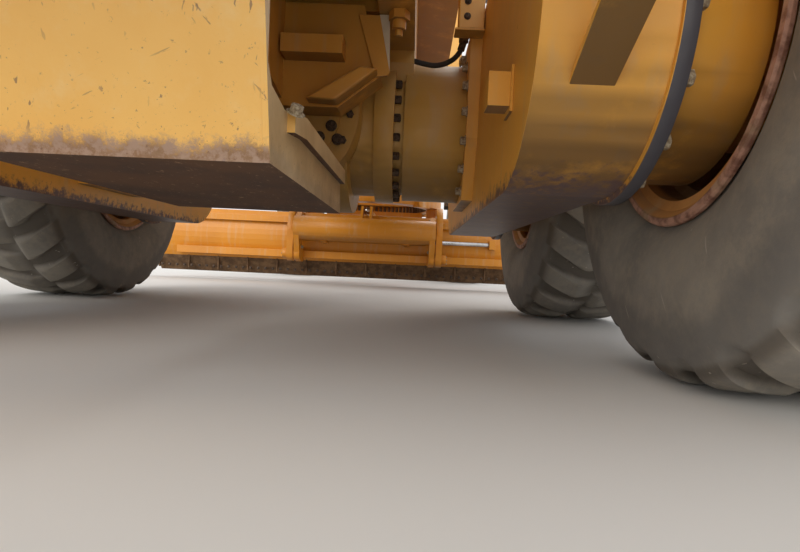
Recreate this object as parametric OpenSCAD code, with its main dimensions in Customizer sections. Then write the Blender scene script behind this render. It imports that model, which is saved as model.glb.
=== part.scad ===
// Motor grader, millimetres. +X is the machine's right, +Y is forward, +Z is up.
// Sizes are worked out from the middle of the tandem axle, on the ground.

/* [Wheels and axles] */
// Middle of the tandem to the front axle
wheelbase = 6559; // [6300:1:6800]
// Distance between the two wheels of a tandem
tandem_pitch = 1656; // [1560:1:1760]
// Height of the wheel centres, which is the tyre's radius
tyre_r = 705; // [690:1:720]
// Width of a tyre at its widest
tyre_w = 520; // [480:1:540]
// Distance between the tyre centres of an axle
track = 2488; // [2460:1:2560]
// Radius of the rim's flange
rim_flange_r = 362; // [352:1:372]
// Width of the rim across its flanges
rim_w = 462; // [430:1:470]
// Radius of the tandem housing's round ends
tandem_r = 317; // [290:1:330]
// Width of the tandem housing
tandem_w = 221; // [180:1:240]
// Distance of the tandem housing's inner wall from the middle
tandem_in = 656; // [640:1:670]

/* [Rear frame] */
// Middle of the tandem to the rear end of the machine
rear_reach = 2143; // [2100:1:2300]
// Middle of the tandem to the articulation pins
hitch_y = 2050; // [1980:1:2150]
// Inner face of a frame rail
rail_in = 345; // [335:1:360]
// Width of a frame rail
rail_w = 100; // [80:1:120]
// Underside of the frame rails
rail_z0 = 930; // [915:1:945]
// Top of the frame rails
rail_z1 = 1250; // [1240:1:1260]
// Radius of the articulation pins
hitch_pin_r = 60; // [50:1:70]

/* [Transmission guard] */
// Half the guard's width
guard_half = 245; // [220:1:260]
// Underside of the guard
guard_z = 375; // [355:1:400]
// Thickness of the guard's plates
guard_t = 10; // [6:1:14]

/* [Hood] */
// Half the hood's width
hood_half = 540; // [520:1:560]
// Height of the hood's top
hood_z1 = 2230; // [2150:1:2300]
// Thickness of the hood's panels
hood_t = 25; // [15:1:30]

/* [Cab] */
// Underside of the cab
cab_z0 = 1730; // [1725:1:1760]
// Top of the cab
cab_z1 = 3535; // [3450:1:3600]
// Half the cab's width
cab_half = 760; // [740:1:800]
// Length of the cab
cab_len = 1450; // [1400:1:1500]
// Thickness of the cab's walls
cab_t = 60; // [50:1:70]

/* [Front frame] */
// Half the width of the front frame's beam
beam_half = 165; // [150:1:180]
// Distance of the king pins from the middle
king_x = 860; // [850:1:865]

/* [Blade] */
// Length of the mouldboard
blade_len = 4267; // [3658:1:4300]
// Middle of the tandem to the back of the mouldboard
blade_y = 3587; // [3560:1:3620]
// Height of the cutting edge above the floor
blade_gap = 75; // [50:1:90]
// Height of the mouldboard's top
blade_top = 700; // [680:1:702]
// Inner radius of the mouldboard's curve
blade_r = 430; // [425:1:440]
// Thickness of the mouldboard
blade_t = 22; // [16:1:26]

/* [Circle] */
// Middle of the tandem to the middle of the circle
circle_y = 4279; // [4260:1:4300]
// Outer radius of the circle
circle_r = 760; // [740:1:780]
// Underside of the circle
circle_z0 = 840; // [838:1:845]
// Height of the circle
circle_h = 90; // [80:1:95]

/* [Cylinders] */
// Outer radius of a lift cylinder
lift_r = 65; // [55:1:70]
// Radius of a lift cylinder's rod
lift_rod_r = 35; // [28:1:38]
// Distance of the lift cylinders from the middle
lift_x = 600; // [590:1:620]
// Height of the lift cylinders' pivots
lift_z = 2050; // [2040:1:2080]

/* [Hidden] */
$fn = 64;
running = 0.05;          // radial clearance of a pin in its bore
face_gap = 0.3;          // between faces that slide on each other
rod_gap = 0.4;           // radial clearance of a rod in its barrel
swing_gap = 8;           // round doors and other swinging panels
paint = [0.86, 0.62, 0.25];
dark = [0.16, 0.16, 0.17];
steel = [0.62, 0.62, 0.63];
rust = [0.42, 0.28, 0.18];
rubber = [0.27, 0.26, 0.25];
pane = [0.62, 0.72, 0.74, 0.4];

front_reach = wheelbase + tyre_r;
mid_y = (front_reach - rear_reach) / 2;
tyre_x = track / 2;
wheel_ys = [-tandem_pitch / 2, tandem_pitch / 2];
tandem_out = tandem_in + tandem_w;
tandem_z = tyre_r + 5;

// Hub and spindle of a wheel, from the middle outwards
gasket_w = 28;
gasket_r = 325;
drum_r = 275;
drum_x = 1050;
spindle_r = 90;
spindle_x = tyre_x + 70;
hub_r = 200;
hub_gap = 6;
disc_x = 60;             // inner face of the rim's disc from the tyre's middle
disc_t = 30;
seat_r = rim_flange_r - 42;
barrel_t = 16;
cap_r = 150;
cap_t = 40;
lug_count = 24;
lug_share = 0.6;         // of the tread's way round
groove = 27;             // depth between the lugs
chevron = 100;           // how far a lug's inner end runs ahead of its outer one

rail_out = rail_in + rail_w;
deck_half = 600;
deck_t = 25;
bumper_y = -rear_reach + 85;
bumper_t = 100;
bumper_half = 900;
bumper_z0 = 760;
tow_r = 25;
tow_z = 860;

hitch_z0 = 780;
hitch_z1 = 1250;
hitch_plate_t = 50;
hitch_boss_r = 130;
hitch_clear = 5;

axle_z = 700;
final_r = 237;
final_x = 421;
flange_r = 246;
flange_x = [325, 389];
cover_r = 287;
arch_gap = 6;
pad_half = sqrt(pow(flange_r + arch_gap, 2) - pow(rail_z0 - axle_z, 2)) + 90;

beam_nose_y = wheelbase + 300;
axle_beam_half = 90;
axle_top = 840;            // where the front frame rests on the axle
saddle_z = 1950;
ball_y = wheelbase - 379;
cup_y = ball_y + 82;
ball_z = 985;
ball_r = 70;

draw_z0 = circle_z0 + circle_h + face_gap;
draw_z1 = draw_z0 + 110;
drive_y = circle_y + 600;
eye_z = 1138;
eye_r = 50;
ear_gap = 6;
ear_t = 20;
eye_t = 2 * (lift_rod_r - 1);

tilt_y = blade_y - 157;  // pivot of the blade's carrier
tilt_z = 290;
arm_x0 = 690;
arm_x1 = 750;
arm_z = [740, 812];      // underside and top of an arm
carrier_x0 = 625;
tube = [tilt_y - 45, 545];
tube_r = 115;
tilt_pin = [blade_y - 27, 748];     // carrier's end of the tilt cylinder, as Y and Z
tilt_base = [circle_y + 221, 748];  // circle's end of the tilt cylinder
rail_low = [255, 325];   // heights of the mouldboard's lower rail
rail_high = [600, 660];  // heights of the upper rail
blade_rail_y = blade_y - 27;
shift_y = blade_y - 46;
shift_z = 462;
shift_rod_x = 1250;
shift_r = 38;

cab_y0 = hitch_y + 300;
cab_y1 = cab_y0 + cab_len;
door_y0 = cab_y0 + 120;
door_y1 = door_y0 + 860;
door_z0 = cab_z0 + 70;
door_z1 = cab_z1 - 200;
roof_z = cab_z1 - 135;
step_y0 = cab_y0 + 440;

art_rear = [540, 1250];  // rear pin of an articulation cylinder, as X and Y
art_front = [420, hitch_y + 650];
art_z = 1010;

// Profiles drawn as (Y, Z), (X, Y) and (X, Z) and extruded along the third axis
module along_x(x0, x1) translate([x0, 0, 0]) rotate([90, 0, 90]) linear_extrude(x1 - x0) children();
module along_z(z0, z1) translate([0, 0, z0]) linear_extrude(z1 - z0) children();
module along_y(y0, y1) translate([0, y1, 0]) rotate([90, 0, 0]) linear_extrude(y1 - y0) children();
module block(low, high) translate(low) cube(high - low);
module bar_x(x0, x1, y, z, r) translate([x0, y, z]) rotate([0, 90, 0]) cylinder(h = x1 - x0, r = r);
module bar_y(y0, y1, x, z, r) translate([x, y1, z]) rotate([90, 0, 0]) cylinder(h = y1 - y0, r = r);
module bar_z(z0, z1, x, y, r) translate([x, y, z0]) cylinder(h = z1 - z0, r = r);
module both_sides() { children(); mirror([1, 0, 0]) children(); }
module on_side(side) { if (side > 0) children(); else mirror([1, 0, 0]) children(); }
module place() translate([0, -mid_y, 0]) children();

// A straight bar between two points, with an optional start and end along it
module strut(p, q, r, from = 0, to = -1) {
    d = q - p;
    len = norm(d);
    stop = to < 0 ? len : to;
    translate(p) rotate([0, acos(d[2] / len), atan2(d[1], d[0])])
        translate([0, 0, from]) cylinder(h = stop - from, r = r);
}

// Pin and strips of a hinge: its door runs from the pin along +X with its face at y = -off,
// and the frame's edge lies at x = -back
hinge_r = 14;
hinge_pin_r = 6;
hinge_off = 12;
module hinge_mount(z, h, off, back) {
    bar_z(z - 20, z + h + 20, 0, 0, hinge_pin_r);
    for (level = [[z - 20, z - face_gap], [z + h + face_gap, z + h + 20]])
        along_z(level[0], level[1]) polygon([[-back - 40, -off - 2], [-back - 40, 7], [0, 7], [7, 0],
            [0, -7], [-back, -7], [-back, -off - 2]]);
}

// Wheels

// Rim, disc and hub, turned about X, with the tyre's middle at x = 0
module rim_shape() {
    edge = rim_w / 2;
    inner = seat_r - barrel_t;
    rotate([0, 90, 0]) rotate_extrude() polygon([
        [rim_flange_r, -edge], [rim_flange_r, -edge + 16], [seat_r + 20, -edge + 26],
        [seat_r, -edge + 26], [seat_r, edge - 26], [seat_r + 20, edge - 26],
        [rim_flange_r, edge - 16], [rim_flange_r, edge], [seat_r + 18, edge],
        [inner, edge - 19], [inner, disc_x + disc_t], [cap_r, disc_x + disc_t],
        [cap_r, disc_x + disc_t + cap_t], [0, disc_x + disc_t + cap_t],
        [0, disc_x + disc_t], [spindle_r + running, disc_x + disc_t],
        [spindle_r + running, drum_x + hub_gap - tyre_x], [hub_r, drum_x + hub_gap - tyre_x],
        [hub_r, disc_x], [inner, disc_x], [inner, -edge + 19], [seat_r + 18, -edge]]);
}

// Halves of the tyre's section and of the ring that its lugs fill, as radius and distance from the middle
lug_shoulder = [tyre_r - 75, tyre_w / 2 - 14];
tyre_half = [
    [seat_r, 0], [seat_r, rim_w / 2 - 26], [seat_r + 20, rim_w / 2 - 26],
    [rim_flange_r, rim_w / 2 - 16], [rim_flange_r + 70, tyre_w / 2 - 8],
    [rim_flange_r + 160, tyre_w / 2], lug_shoulder, [tyre_r - groove - 14, tyre_w / 2 - 54],
    [tyre_r - groove, tyre_w / 2 - 90]];
lug_half = [
    [tyre_r - 100, 0], [tyre_r - 100, tyre_w / 2 - 40], lug_shoulder, [tyre_r - 14, tyre_w / 2 - 34],
    [tyre_r, tyre_w / 2 - 70]];
module revolved(half) {
    count = len(half);
    back = [for (i = [count - 1:-1:1]) [half[i][0], -half[i][1]]];
    rotate([0, 90, 0]) rotate_extrude($fn = 48) polygon(concat(half, back));
}
// One lug seen from outside, from the middle of the tread to the shoulder
lug_w = lug_share * 2 * PI * tyre_r / lug_count;
lug_plan = [[14, chevron - 0.42 * lug_w], [0.5 * tyre_w / 2, 0.42 * chevron - 0.46 * lug_w],
    [tyre_w / 2, -0.5 * lug_w], [tyre_w / 2, 0.5 * lug_w], [0.5 * tyre_w / 2, 0.42 * chevron + 0.46 * lug_w],
    [14, chevron + 0.42 * lug_w]];
module tyre_shape() {
    revolved(tyre_half);
    intersection() {
        revolved(lug_half);
        for (i = [0:lug_count - 1]) rotate([360 * i / lug_count, 0, 0])
            both_sides() along_y(tyre_r - 110, tyre_r + 20) polygon(lug_plan);
    }
}

module wheel_at(side, y) on_side(side) translate([tyre_x, y, tyre_r]) children();
module rim(side, y) color(paint) wheel_at(side, y) rim_shape();
module tyre(side, y) color(rubber) wheel_at(side, y) tyre_shape();

// Rear frame

module rear_frame() color(paint) difference() {
    union() {
        both_sides() {
            block([rail_in, bumper_y, rail_z0], [rail_out, 1340, rail_z1]);
            // Web from the rail to the hitch
            along_z(hitch_z0 + hitch_plate_t, hitch_z1 - hitch_plate_t) polygon([
                [rail_in, 1300], [rail_out, 1300], [rail_out, 1340], [230, 1880], [170, 1880]]);
            block([rail_out, -1900, rail_z1 - deck_t], [deck_half, 1300, rail_z1]);
            // Bracket for the articulation cylinder
            for (z = [art_z - 75, art_z + 45]) {
                block([rail_out, 1190, z], [art_rear[0], 1310, z + 30]);
                bar_z(z, z + 30, art_rear[0], art_rear[1], 60);
            }
            bar_z(art_z - 75, art_z + 75, art_rear[0], art_rear[1], 25);
        }
        // Hitch plates
        for (z = [hitch_z0, hitch_z1 - hitch_plate_t]) along_z(z, z + hitch_plate_t) union() {
            polygon([[-rail_out, 1300], [rail_out, 1300], [160, hitch_y], [-160, hitch_y]]);
            translate([0, hitch_y]) circle(r = 160);
        }
        bar_z(hitch_z0 - 20, hitch_z1 + 20, 0, hitch_y, hitch_pin_r);
        block([-rail_in, 1240, rail_z0], [rail_in, 1340, rail_z1]);
        block([-rail_in, -400, engine_z0], [rail_in, -330, 1100]);
        block([-bumper_half, bumper_y, bumper_z0], [bumper_half, bumper_y + bumper_t, rail_z1]);
        // Tow hitch
        for (z = [tow_z - 60, tow_z + 30]) {
            block([-60, -rear_reach + 60, z], [60, bumper_y, z + 30]);
            bar_z(z, z + 30, 0, -rear_reach + 60, 60);
        }
    }
    // Arch of the rails over the final drives
    bar_x(-rail_out - 1, rail_out + 1, 0, axle_z, flange_r + arch_gap);
    bar_z(tow_z - 61, tow_z + 61, 0, -rear_reach + 60, tow_r);
    for (x = [-300, 300], z = [850, 1150]) bar_y(bumper_y - 1, bumper_y + 60, x, z, 14);
}

// Guard box under the transmission, open at the top
guard_side = [[-1191, guard_z], [-1253, 592], [-1290, 720], [-1230, 720], [-1225, 519],
    [-1198, 492], [-1108, 479], [-986, 497], [-397, 499], [-353, guard_z]];
module transmission_guard() color(paint) {
    both_sides() {
        along_x(guard_half - guard_t, guard_half) polygon(guard_side);
        // Fold along the top, and a lip on the outside
        block([guard_half - 45, -986, 487], [guard_half - guard_t, -397, 497]);
        along_x(guard_half, guard_half + 14) polygon([[-1088, 446], [-1088, 482], [-986, 497], [-397, 499],
            [-383, 460], [-980, 458]]);
    }
    block([-guard_half + guard_t, -1191, guard_z], [guard_half - guard_t, -353, guard_z + guard_t]);
    along_x(-guard_half + guard_t, guard_half - guard_t)
        polygon([[-1191, guard_z + guard_t], [-1253, 592], [-1290, 720], [-1279, 720],
            [-1242, 592], [-1179, guard_z + guard_t]]);
    // Hangers up to the transmission
    both_sides() block([guard_half - 60, -1279, 700], [guard_half - guard_t, -1180, 720]);
}

module transmission() color(paint) {
    block([-230, -1290, 720], [230, -1170, engine_z0]);
    along_x(-230, 45) polygon([[-1171, 720], [-1171, engine_z0], [-440, engine_z0], [-440, 540], [-500, 510],
        [-1150, 510]]);
    along_x(45, 75) polygon([[-1171, 800], [-1171, engine_z0], [-440, engine_z0], [-440, 690]]);
    along_y(-440, -342) polygon([[-300, engine_z0], [-356, 762], [-236, 668], [236, 668], [356, 762],
        [300, engine_z0]]);
    // Ledge on the plate
    block([82, -510, 796], [252, -440, 846]);
}

engine_z0 = 960;
module engine() color(dark) {
    block([-rail_in + 15, -rear_reach + 393, engine_z0], [rail_in - 15, -rear_reach + 1643, 1760]);
    both_sides() for (y = [-rear_reach + 543, -rear_reach + 1383])
        block([rail_in - 15, y, rail_z1], [rail_out, y + 140, rail_z1 + 30]);
}

module radiator() color(dark) {
    block([-hood_half + 110, -rear_reach + 153, rail_z1], [hood_half - 110, -rear_reach + 283, 2080]);
}

hood_y0 = -rear_reach + 90;
hood_y1 = 1290;
stack_z = hood_z1 + 45;
door_hood = [-1500, 250]; // start and end of the side openings
hood_door_z = [2 * tyre_r + 20, 2050];
module hood() color(paint) union() {
    hood_shell();
    // Raised panel along the top
    along_y(hood_y0 + 120, 1120) polygon([[-300, hood_z1 - 1], [-270, hood_z1 + 45], [270, hood_z1 + 45],
        [300, hood_z1 - 1]]);
    both_sides() translate(hood_hinge) rotate([0, 0, -90]) for (z = hood_hinge_z) hinge_mount(z, 80, hinge_off, 23);
    translate(grille_hinge) mirror([0, 1, 0]) for (z = grille_hinge_z) hinge_mount(z, 80, hinge_off + 2, 6);
}
module hood_shell() difference() {
    along_y(hood_y0, hood_y1) polygon([[-hood_half, rail_z1], [-hood_half, hood_z1 - 120],
        [-hood_half + 160, hood_z1], [hood_half - 160, hood_z1], [hood_half, hood_z1 - 120],
        [hood_half, rail_z1]]);
    along_y(hood_y0 + hood_t, hood_y1 - hood_t) polygon([[-hood_half + hood_t, rail_z1 - 1],
        [-hood_half + hood_t, hood_z1 - 132], [-hood_half + 168, hood_z1 - hood_t],
        [hood_half - 168, hood_z1 - hood_t], [hood_half - hood_t, hood_z1 - 132],
        [hood_half - hood_t, rail_z1 - 1]]);
    both_sides() block([hood_half - hood_t - 1, door_hood[0], hood_door_z[0]],
        [hood_half + 1, door_hood[1], hood_door_z[1]]);
    block([-440, hood_y0 - 1, 1330], [440, hood_y0 + hood_t + 1, 2060]);
}

hood_hinge = [hood_half + hinge_off, door_hood[1] - swing_gap - 14]; // as X and Y
hood_hinge_z = [1470, 1900];
louvre_z = hood_door_z[0] + 120;
louvre_d = 18;
module hood_door() color(paint) difference() {
    union() {
        block([hood_half - hood_t, door_hood[0] + swing_gap, hood_door_z[0] + swing_gap],
            [hood_half, door_hood[1] - swing_gap, hood_door_z[1] - swing_gap]);
        for (z = hood_hinge_z) bar_z(z, z + 80, hood_hinge[0], hood_hinge[1], hinge_r);
    }
    for (z = hood_hinge_z) bar_z(z - 1, z + 81, hood_hinge[0], hood_hinge[1], hinge_pin_r + running);
    // Louvres
    for (y = [-1380, -640], i = [0:7]) along_y(y, y + 520) polygon([
        [hood_half + 1, louvre_z + 52 * i], [hood_half + 1, louvre_z + 52 * i + 34],
        [hood_half - 4, louvre_z + 52 * i + 34], [hood_half - louvre_d, louvre_z + 52 * i + 6],
        [hood_half - louvre_d, louvre_z + 52 * i]]);
}

grille_hinge = [-436, hood_y0 - 2 - hinge_off]; // as X and Y
grille_hinge_z = [1420, 1900];
module rear_grille() color(dark) difference() {
    union() {
        block([-440 + swing_gap, hood_y0 - 2, 1330 + swing_gap],
            [440 - swing_gap, hood_y0 + hood_t - 2, 2060 - swing_gap]);
        for (z = grille_hinge_z) bar_z(z, z + 80, grille_hinge[0], grille_hinge[1], hinge_r);
    }
    for (i = [0:13]) block([-390, hood_y0 - 3, 1390 + 46 * i], [390, hood_y0 + hood_t, 1414 + 46 * i]);
    for (z = grille_hinge_z) bar_z(z - 1, z + 81, grille_hinge[0], grille_hinge[1], hinge_pin_r + running);
}

module stacks() color(dark) {
    // Exhaust with its silencer and slanted top
    bar_z(stack_z, 2600, -190, 150, 85);
    difference() {
        bar_z(2600, 2930, -190, 150, 55);
        bar_z(2640, 2931, -190, 150, 48);
        translate([-190, 150, 2930]) rotate([0, -35, 0]) translate([-100, -100, 0]) cube([300, 200, 200]);
    }
    // Air intake with its pre-cleaner
    translate([190, 620, 0]) rotate_extrude() polygon([[0, stack_z], [80, stack_z], [80, 2420], [150, 2440],
        [160, 2470], [150, 2580], [120, 2620], [60, 2650], [0, 2655]]);
}

module axle_housing() color(paint) {
    both_sides() {
        bar_x(245, 345, 0, axle_z, 225);
        bar_x(flange_x[0], flange_x[1], 0, axle_z, flange_r);
        bar_x(flange_x[1], final_x, 0, axle_z, final_r - 20);
        bar_x(final_x, 620, 0, axle_z, final_r);
        // Saddle that the frame rail rests on, on both sides of its arch
        along_x(rail_in, rail_out) polygon([[-pad_half, rail_z0], [-pad_half, rail_z0 - 40],
            [-pad_half + 60, axle_z + 60], [pad_half - 60, axle_z + 60], [pad_half, rail_z0 - 40],
            [pad_half, rail_z0]]);
    }
    bar_x(-245, 245, 0, axle_z, 290);
    // Cover on the back of the differential
    bar_y(-325, -200, 0, axle_z, cover_r);
    bar_y(-337, -325, 0, axle_z, cover_r - 55);
}

// Tandem housing with its flange, spindle drums and spindles
module tandem_outline(r) union() {
    translate([wheel_ys[0], tandem_z]) circle(r = r);
    translate([wheel_ys[1], tandem_z]) circle(r = r);
    translate([wheel_ys[0], tandem_z - r]) square([tandem_pitch, 2 * r]);
}
module tandem(side) color(paint) on_side(side) {
    along_x(tandem_in, tandem_out) tandem_outline(tandem_r);
    along_x(620, tandem_in) polygon([[-268, 970], [268, 970], [281, 640], [190, 450], [-188, 450], [-260, 640]]);
    for (y = wheel_ys) {
        bar_x(tandem_out, tandem_out + gasket_w, y, tyre_r, gasket_r);
        bar_x(tandem_out + gasket_w, drum_x, y, tyre_r, drum_r);
        bar_x(drum_x, spindle_x, y, tyre_r, spindle_r);
    }
    // Stop block on the inner wall
    block([606, -900, 560], [tandem_in, -840, 630]);
}

// Articulation cylinders
function flat(p, z) = [p[0], p[1], z];
art_len = norm(art_front - art_rear);
module articulation_barrel(side) color(paint) on_side(side) difference() {
    union() {
        strut(flat(art_rear, art_z), flat(art_front, art_z), 42, 40, 900);
        bar_z(art_z - 40, art_z + 40, art_rear[0], art_rear[1], 55);
    }
    strut(flat(art_rear, art_z), flat(art_front, art_z), 25 + rod_gap, 90, 901);
    bar_z(art_z - 41, art_z + 41, art_rear[0], art_rear[1], 25 + running);
}
module articulation_rod(side) color(steel) on_side(side) {
    strut(flat(art_rear, art_z), flat(art_front, art_z), 25, 560, art_len - 30);
    bar_z(art_z - 40, art_z + 40, art_front[0], art_front[1], 50);
}

// Front frame

boss_z0 = hitch_z0 + hitch_plate_t + hitch_clear;
boss_z1 = hitch_z1 - hitch_plate_t - hitch_clear;
// Curve from a to c that leans towards b, drawn with straight steps
function bend(a, b, c, steps) = [for (i = [0:steps]) let (t = i / steps)
    (1 - t) * (1 - t) * a + 2 * t * (1 - t) * b + t * t * c];
beam_bottom = concat([[hitch_y + 180, boss_z0]],
    bend([hitch_y + 650, 900], [hitch_y + 1080, 1480], [hitch_y + 1850, 1560], 8),
    bend([cup_y - 562, 1560], [cup_y - 90, 1540], [cup_y, ball_z + 105], 6), [[cup_y, axle_top]]);
beam_top = concat([[beam_nose_y, axle_top]],
    bend([beam_nose_y, 1200], [beam_nose_y - 120, saddle_z - 60], [beam_nose_y - 1259, saddle_z], 10),
    [[circle_y - 179, saddle_z], [cab_y1 + 60, 1790], [cab_y1 + 5, cab_z0 - 20], [cab_y0 + 50, cab_z0 - 20],
    [hitch_y + 180, 1500]]);
module front_frame() color(paint) difference() {
    union() {
        along_x(-beam_half, beam_half) polygon(concat(beam_bottom, beam_top));
        // Hitch boss between the rear frame's plates
        bar_z(boss_z0, boss_z1, 0, hitch_y, hitch_boss_r);
        block([-100, hitch_y, boss_z0], [100, hitch_y + 180, boss_z1]);
        // Cab platform
        block([-cab_half, cab_y0, cab_z0 - 60], [cab_half, cab_y0 + 100, cab_z0]);
        block([-cab_half, cab_y0 + 900, cab_z0 - 60], [cab_half, cab_y0 + 1000, cab_z0]);
        both_sides() {
            block([cab_half - 100, cab_y0, cab_z0 - 60], [cab_half, cab_y0 + 1000, cab_z0]);
            // Brackets for the articulation cylinder's rod, an open fork
            for (z = [art_z - 76, art_z + 46])
                block([beam_half, art_front[1] - 60, z], [art_front[0] + 70, art_front[1] + 80, z + 30]);
        }
        // Cup for the drawbar's ball, reaching into the beam
        block([-110, ball_y - 5, ball_z - 105], [110, (cup_y + beam_nose_y) / 2, ball_z + 105]);
    }
    bar_z(700, 1400, 0, hitch_y, hitch_pin_r + running);
    translate([0, ball_y, ball_z]) sphere(r = ball_r + face_gap);
    for (x = [-110, 110], z = [920, 1120]) bar_y(beam_nose_y - 60, beam_nose_y + 1, x, z, 13);
}

// Cab

function cab_plan(inset) = [
    [-cab_half + inset, cab_y0 + inset], [cab_half - inset, cab_y0 + inset],
    [cab_half - inset, door_y1 + 70], [cab_half - 180 - inset * 0.6, cab_y1 - inset],
    [-cab_half + 180 + inset * 0.6, cab_y1 - inset], [-cab_half + inset, door_y1 + 70]];

module cab_openings() {
    // Doors
    both_sides() block([cab_half - cab_t - 1, door_y0, door_z0], [cab_half + 1, door_y1, door_z1]);
    // Rear window
    block([-560, cab_y0 - 1, 2450], [560, cab_y0 + cab_t + 1, door_z1]);
    // Windscreen
    block([-500, cab_y1 - cab_t - 1, cab_z0 + 250], [500, cab_y1 + 1, door_z1]);
}
corner_dir = [-180, cab_y1 - door_y1 - 70];
corner_len = norm(corner_dir);
// Window in the slanted front corner, drawn along the corner's own wall
module corner_window(t0, t1) both_sides() translate([cab_half, door_y1 + 70, 0])
    rotate([0, 0, atan2(corner_dir[1], corner_dir[0])])
        block([70, t0, cab_z0 + 250], [corner_len - 70, t1, door_z1]);

module cab_body() color(paint) union() {
    cab_shell();
    both_sides() translate(door_hinge) mirror([1, -1, 0]) for (z = door_hinge_z) hinge_mount(z, 90, hinge_off, 23);
}
module cab_shell() difference() {
    along_z(cab_z0, roof_z) polygon(cab_plan(0));
    along_z(cab_z0 + 50, roof_z + 1) polygon(cab_plan(cab_t));
    cab_openings();
    corner_window(-5, cab_t + 45);
}
module cab_roof() color(paint) {
    along_z(roof_z, cab_z1 - 40) polygon(cab_plan(-50));
    along_z(cab_z1 - 40, cab_z1) polygon(cab_plan(10));
}
glass_t = 8;
module cab_glass() color(pane) {
    block([-560, cab_y0 + 26, 2450], [560, cab_y0 + 26 + glass_t, door_z1]);
    block([-500, cab_y1 - 34, cab_z0 + 250], [500, cab_y1 - 34 + glass_t, door_z1]);
    corner_window(20, 20 + glass_t);
}
door_hinge = [cab_half + hinge_off, door_y0 + swing_gap + 14]; // as X and Y
door_hinge_z = [1900, 2700, 3100];
module cab_door(side) color(paint) on_side(side) difference() {
    union() {
        block([cab_half - cab_t, door_y0 + swing_gap, door_z0 + swing_gap],
            [cab_half, door_y1 - swing_gap, door_z1 - swing_gap]);
        for (z = door_hinge_z) bar_z(z, z + 90, door_hinge[0], door_hinge[1], hinge_r);
    }
    block([cab_half - cab_t - 1, door_y0 + 90, 2250], [cab_half + 1, door_y1 - 90, door_z1 - 100]);
    block([cab_half - cab_t - 1, door_y0 + 90, 1890], [cab_half + 1, door_y1 - 90, 2180]);
    for (z = door_hinge_z) bar_z(z - 1, z + 91, door_hinge[0], door_hinge[1], hinge_pin_r + running);
}
module door_glass(side) color(pane) on_side(side) {
    block([cab_half - 34, door_y0 + 90, 2250], [cab_half - 34 + glass_t, door_y1 - 90, door_z1 - 100]);
    block([cab_half - 34, door_y0 + 90, 1890], [cab_half - 34 + glass_t, door_y1 - 90, 2180]);
}
module cab_interior() color(dark) {
    floor_z = cab_z0 + 50;
    // Pedestal, cushion and back of the operator's seat
    block([-200, cab_y0 + 270, floor_z], [200, cab_y0 + 670, floor_z + 330]);
    block([-250, cab_y0 + 250, floor_z + 330], [250, cab_y0 + 750, floor_z + 450]);
    block([-240, cab_y0 + 150, floor_z + 330], [240, cab_y0 + 250, floor_z + 1080]);
    // Control console and column
    block([-120, cab_y1 - 380, floor_z], [120, cab_y1 - 240, floor_z + 700]);
    block([-240, cab_y1 - 470, floor_z + 700], [240, cab_y1 - 240, floor_z + 780]);
    both_sides() block([260, cab_y0 + 350, floor_z], [360, cab_y0 + 745, floor_z + 560]);
}
module cab_steps() color(dark) both_sides() {
    for (z = [790, 1090, 1390]) block([cab_half - 20, step_y0 + 20, z], [cab_half + 80, step_y0 + 420, z + 30]);
    for (y = [step_y0, step_y0 + 420]) block([cab_half - 20, y, 760], [cab_half + 50, y + 20, cab_z0 - 60]);
    block([cab_half - 90, step_y0 + 20, cab_z0 - 90], [cab_half + 50, step_y0 + 420, cab_z0 - 60]);
}

// Lamps under the eaves of the roof, each a tapered case
module lamp_case(w, h) polygon([[-w, 0], [-w, h * 0.8], [-w * 0.8, h], [w * 0.8, h], [w, h * 0.8], [w, 0],
    [w * 0.8, -h * 0.2], [-w * 0.8, -h * 0.2]]);
module work_lamps() color(dark) both_sides() for (x = [200, 480]) {
    along_y(cab_y1 + 50, cab_y1 + 130) translate([x, roof_z + 20]) lamp_case(75, 60);
    along_y(cab_y0 - 130, cab_y0 - 50) translate([x, roof_z + 20]) lamp_case(75, 60);
}

// Mirrors on their arms, and grab rails beside the doors
mirror_at = [cab_half + 290, door_y1 + 230, 3060];
module mirrors() color(dark) both_sides() {
    difference() {
        strut([cab_half - 60, door_y1 + 105, 3250], [mirror_at[0], mirror_at[1], 3250], 16);
        along_z(cab_z0, roof_z) polygon(cab_plan(0));
    }
    bar_z(mirror_at[2] - 190, 3266, mirror_at[0], mirror_at[1], 16);
    along_z(mirror_at[2] - 210, mirror_at[2] + 160) polygon([
        [mirror_at[0] - 110, mirror_at[1] - 22], [mirror_at[0] - 90, mirror_at[1] + 22],
        [mirror_at[0] - 50, mirror_at[1] + 45], [mirror_at[0] + 50, mirror_at[1] + 45],
        [mirror_at[0] + 90, mirror_at[1] + 22], [mirror_at[0] + 110, mirror_at[1] - 22]]);
}
rail_x = cab_half + 75;
module grab_rails() color(dark) both_sides() {
    bar_z(1950, 3000, rail_x, door_y1 + 50, 15);
    for (z = [1965, 2475, 2985]) bar_x(cab_half, rail_x, door_y1 + 50, z, 12);
}

// Tail lamps on the rear plate and rails along the hood's top
module rear_fittings() color(dark) both_sides() {
    along_y(bumper_y - 40, bumper_y) translate([bumper_half - 130, 1120]) lamp_case(80, 70);
    bar_y(hood_y0 + 250, -300, hood_half - 195, hood_z1 + 170, 16);
    for (y = [hood_y0 + 270, -1050, -320]) bar_z(hood_z1, hood_z1 + 170, hood_half - 195, y, 14);
}

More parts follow.
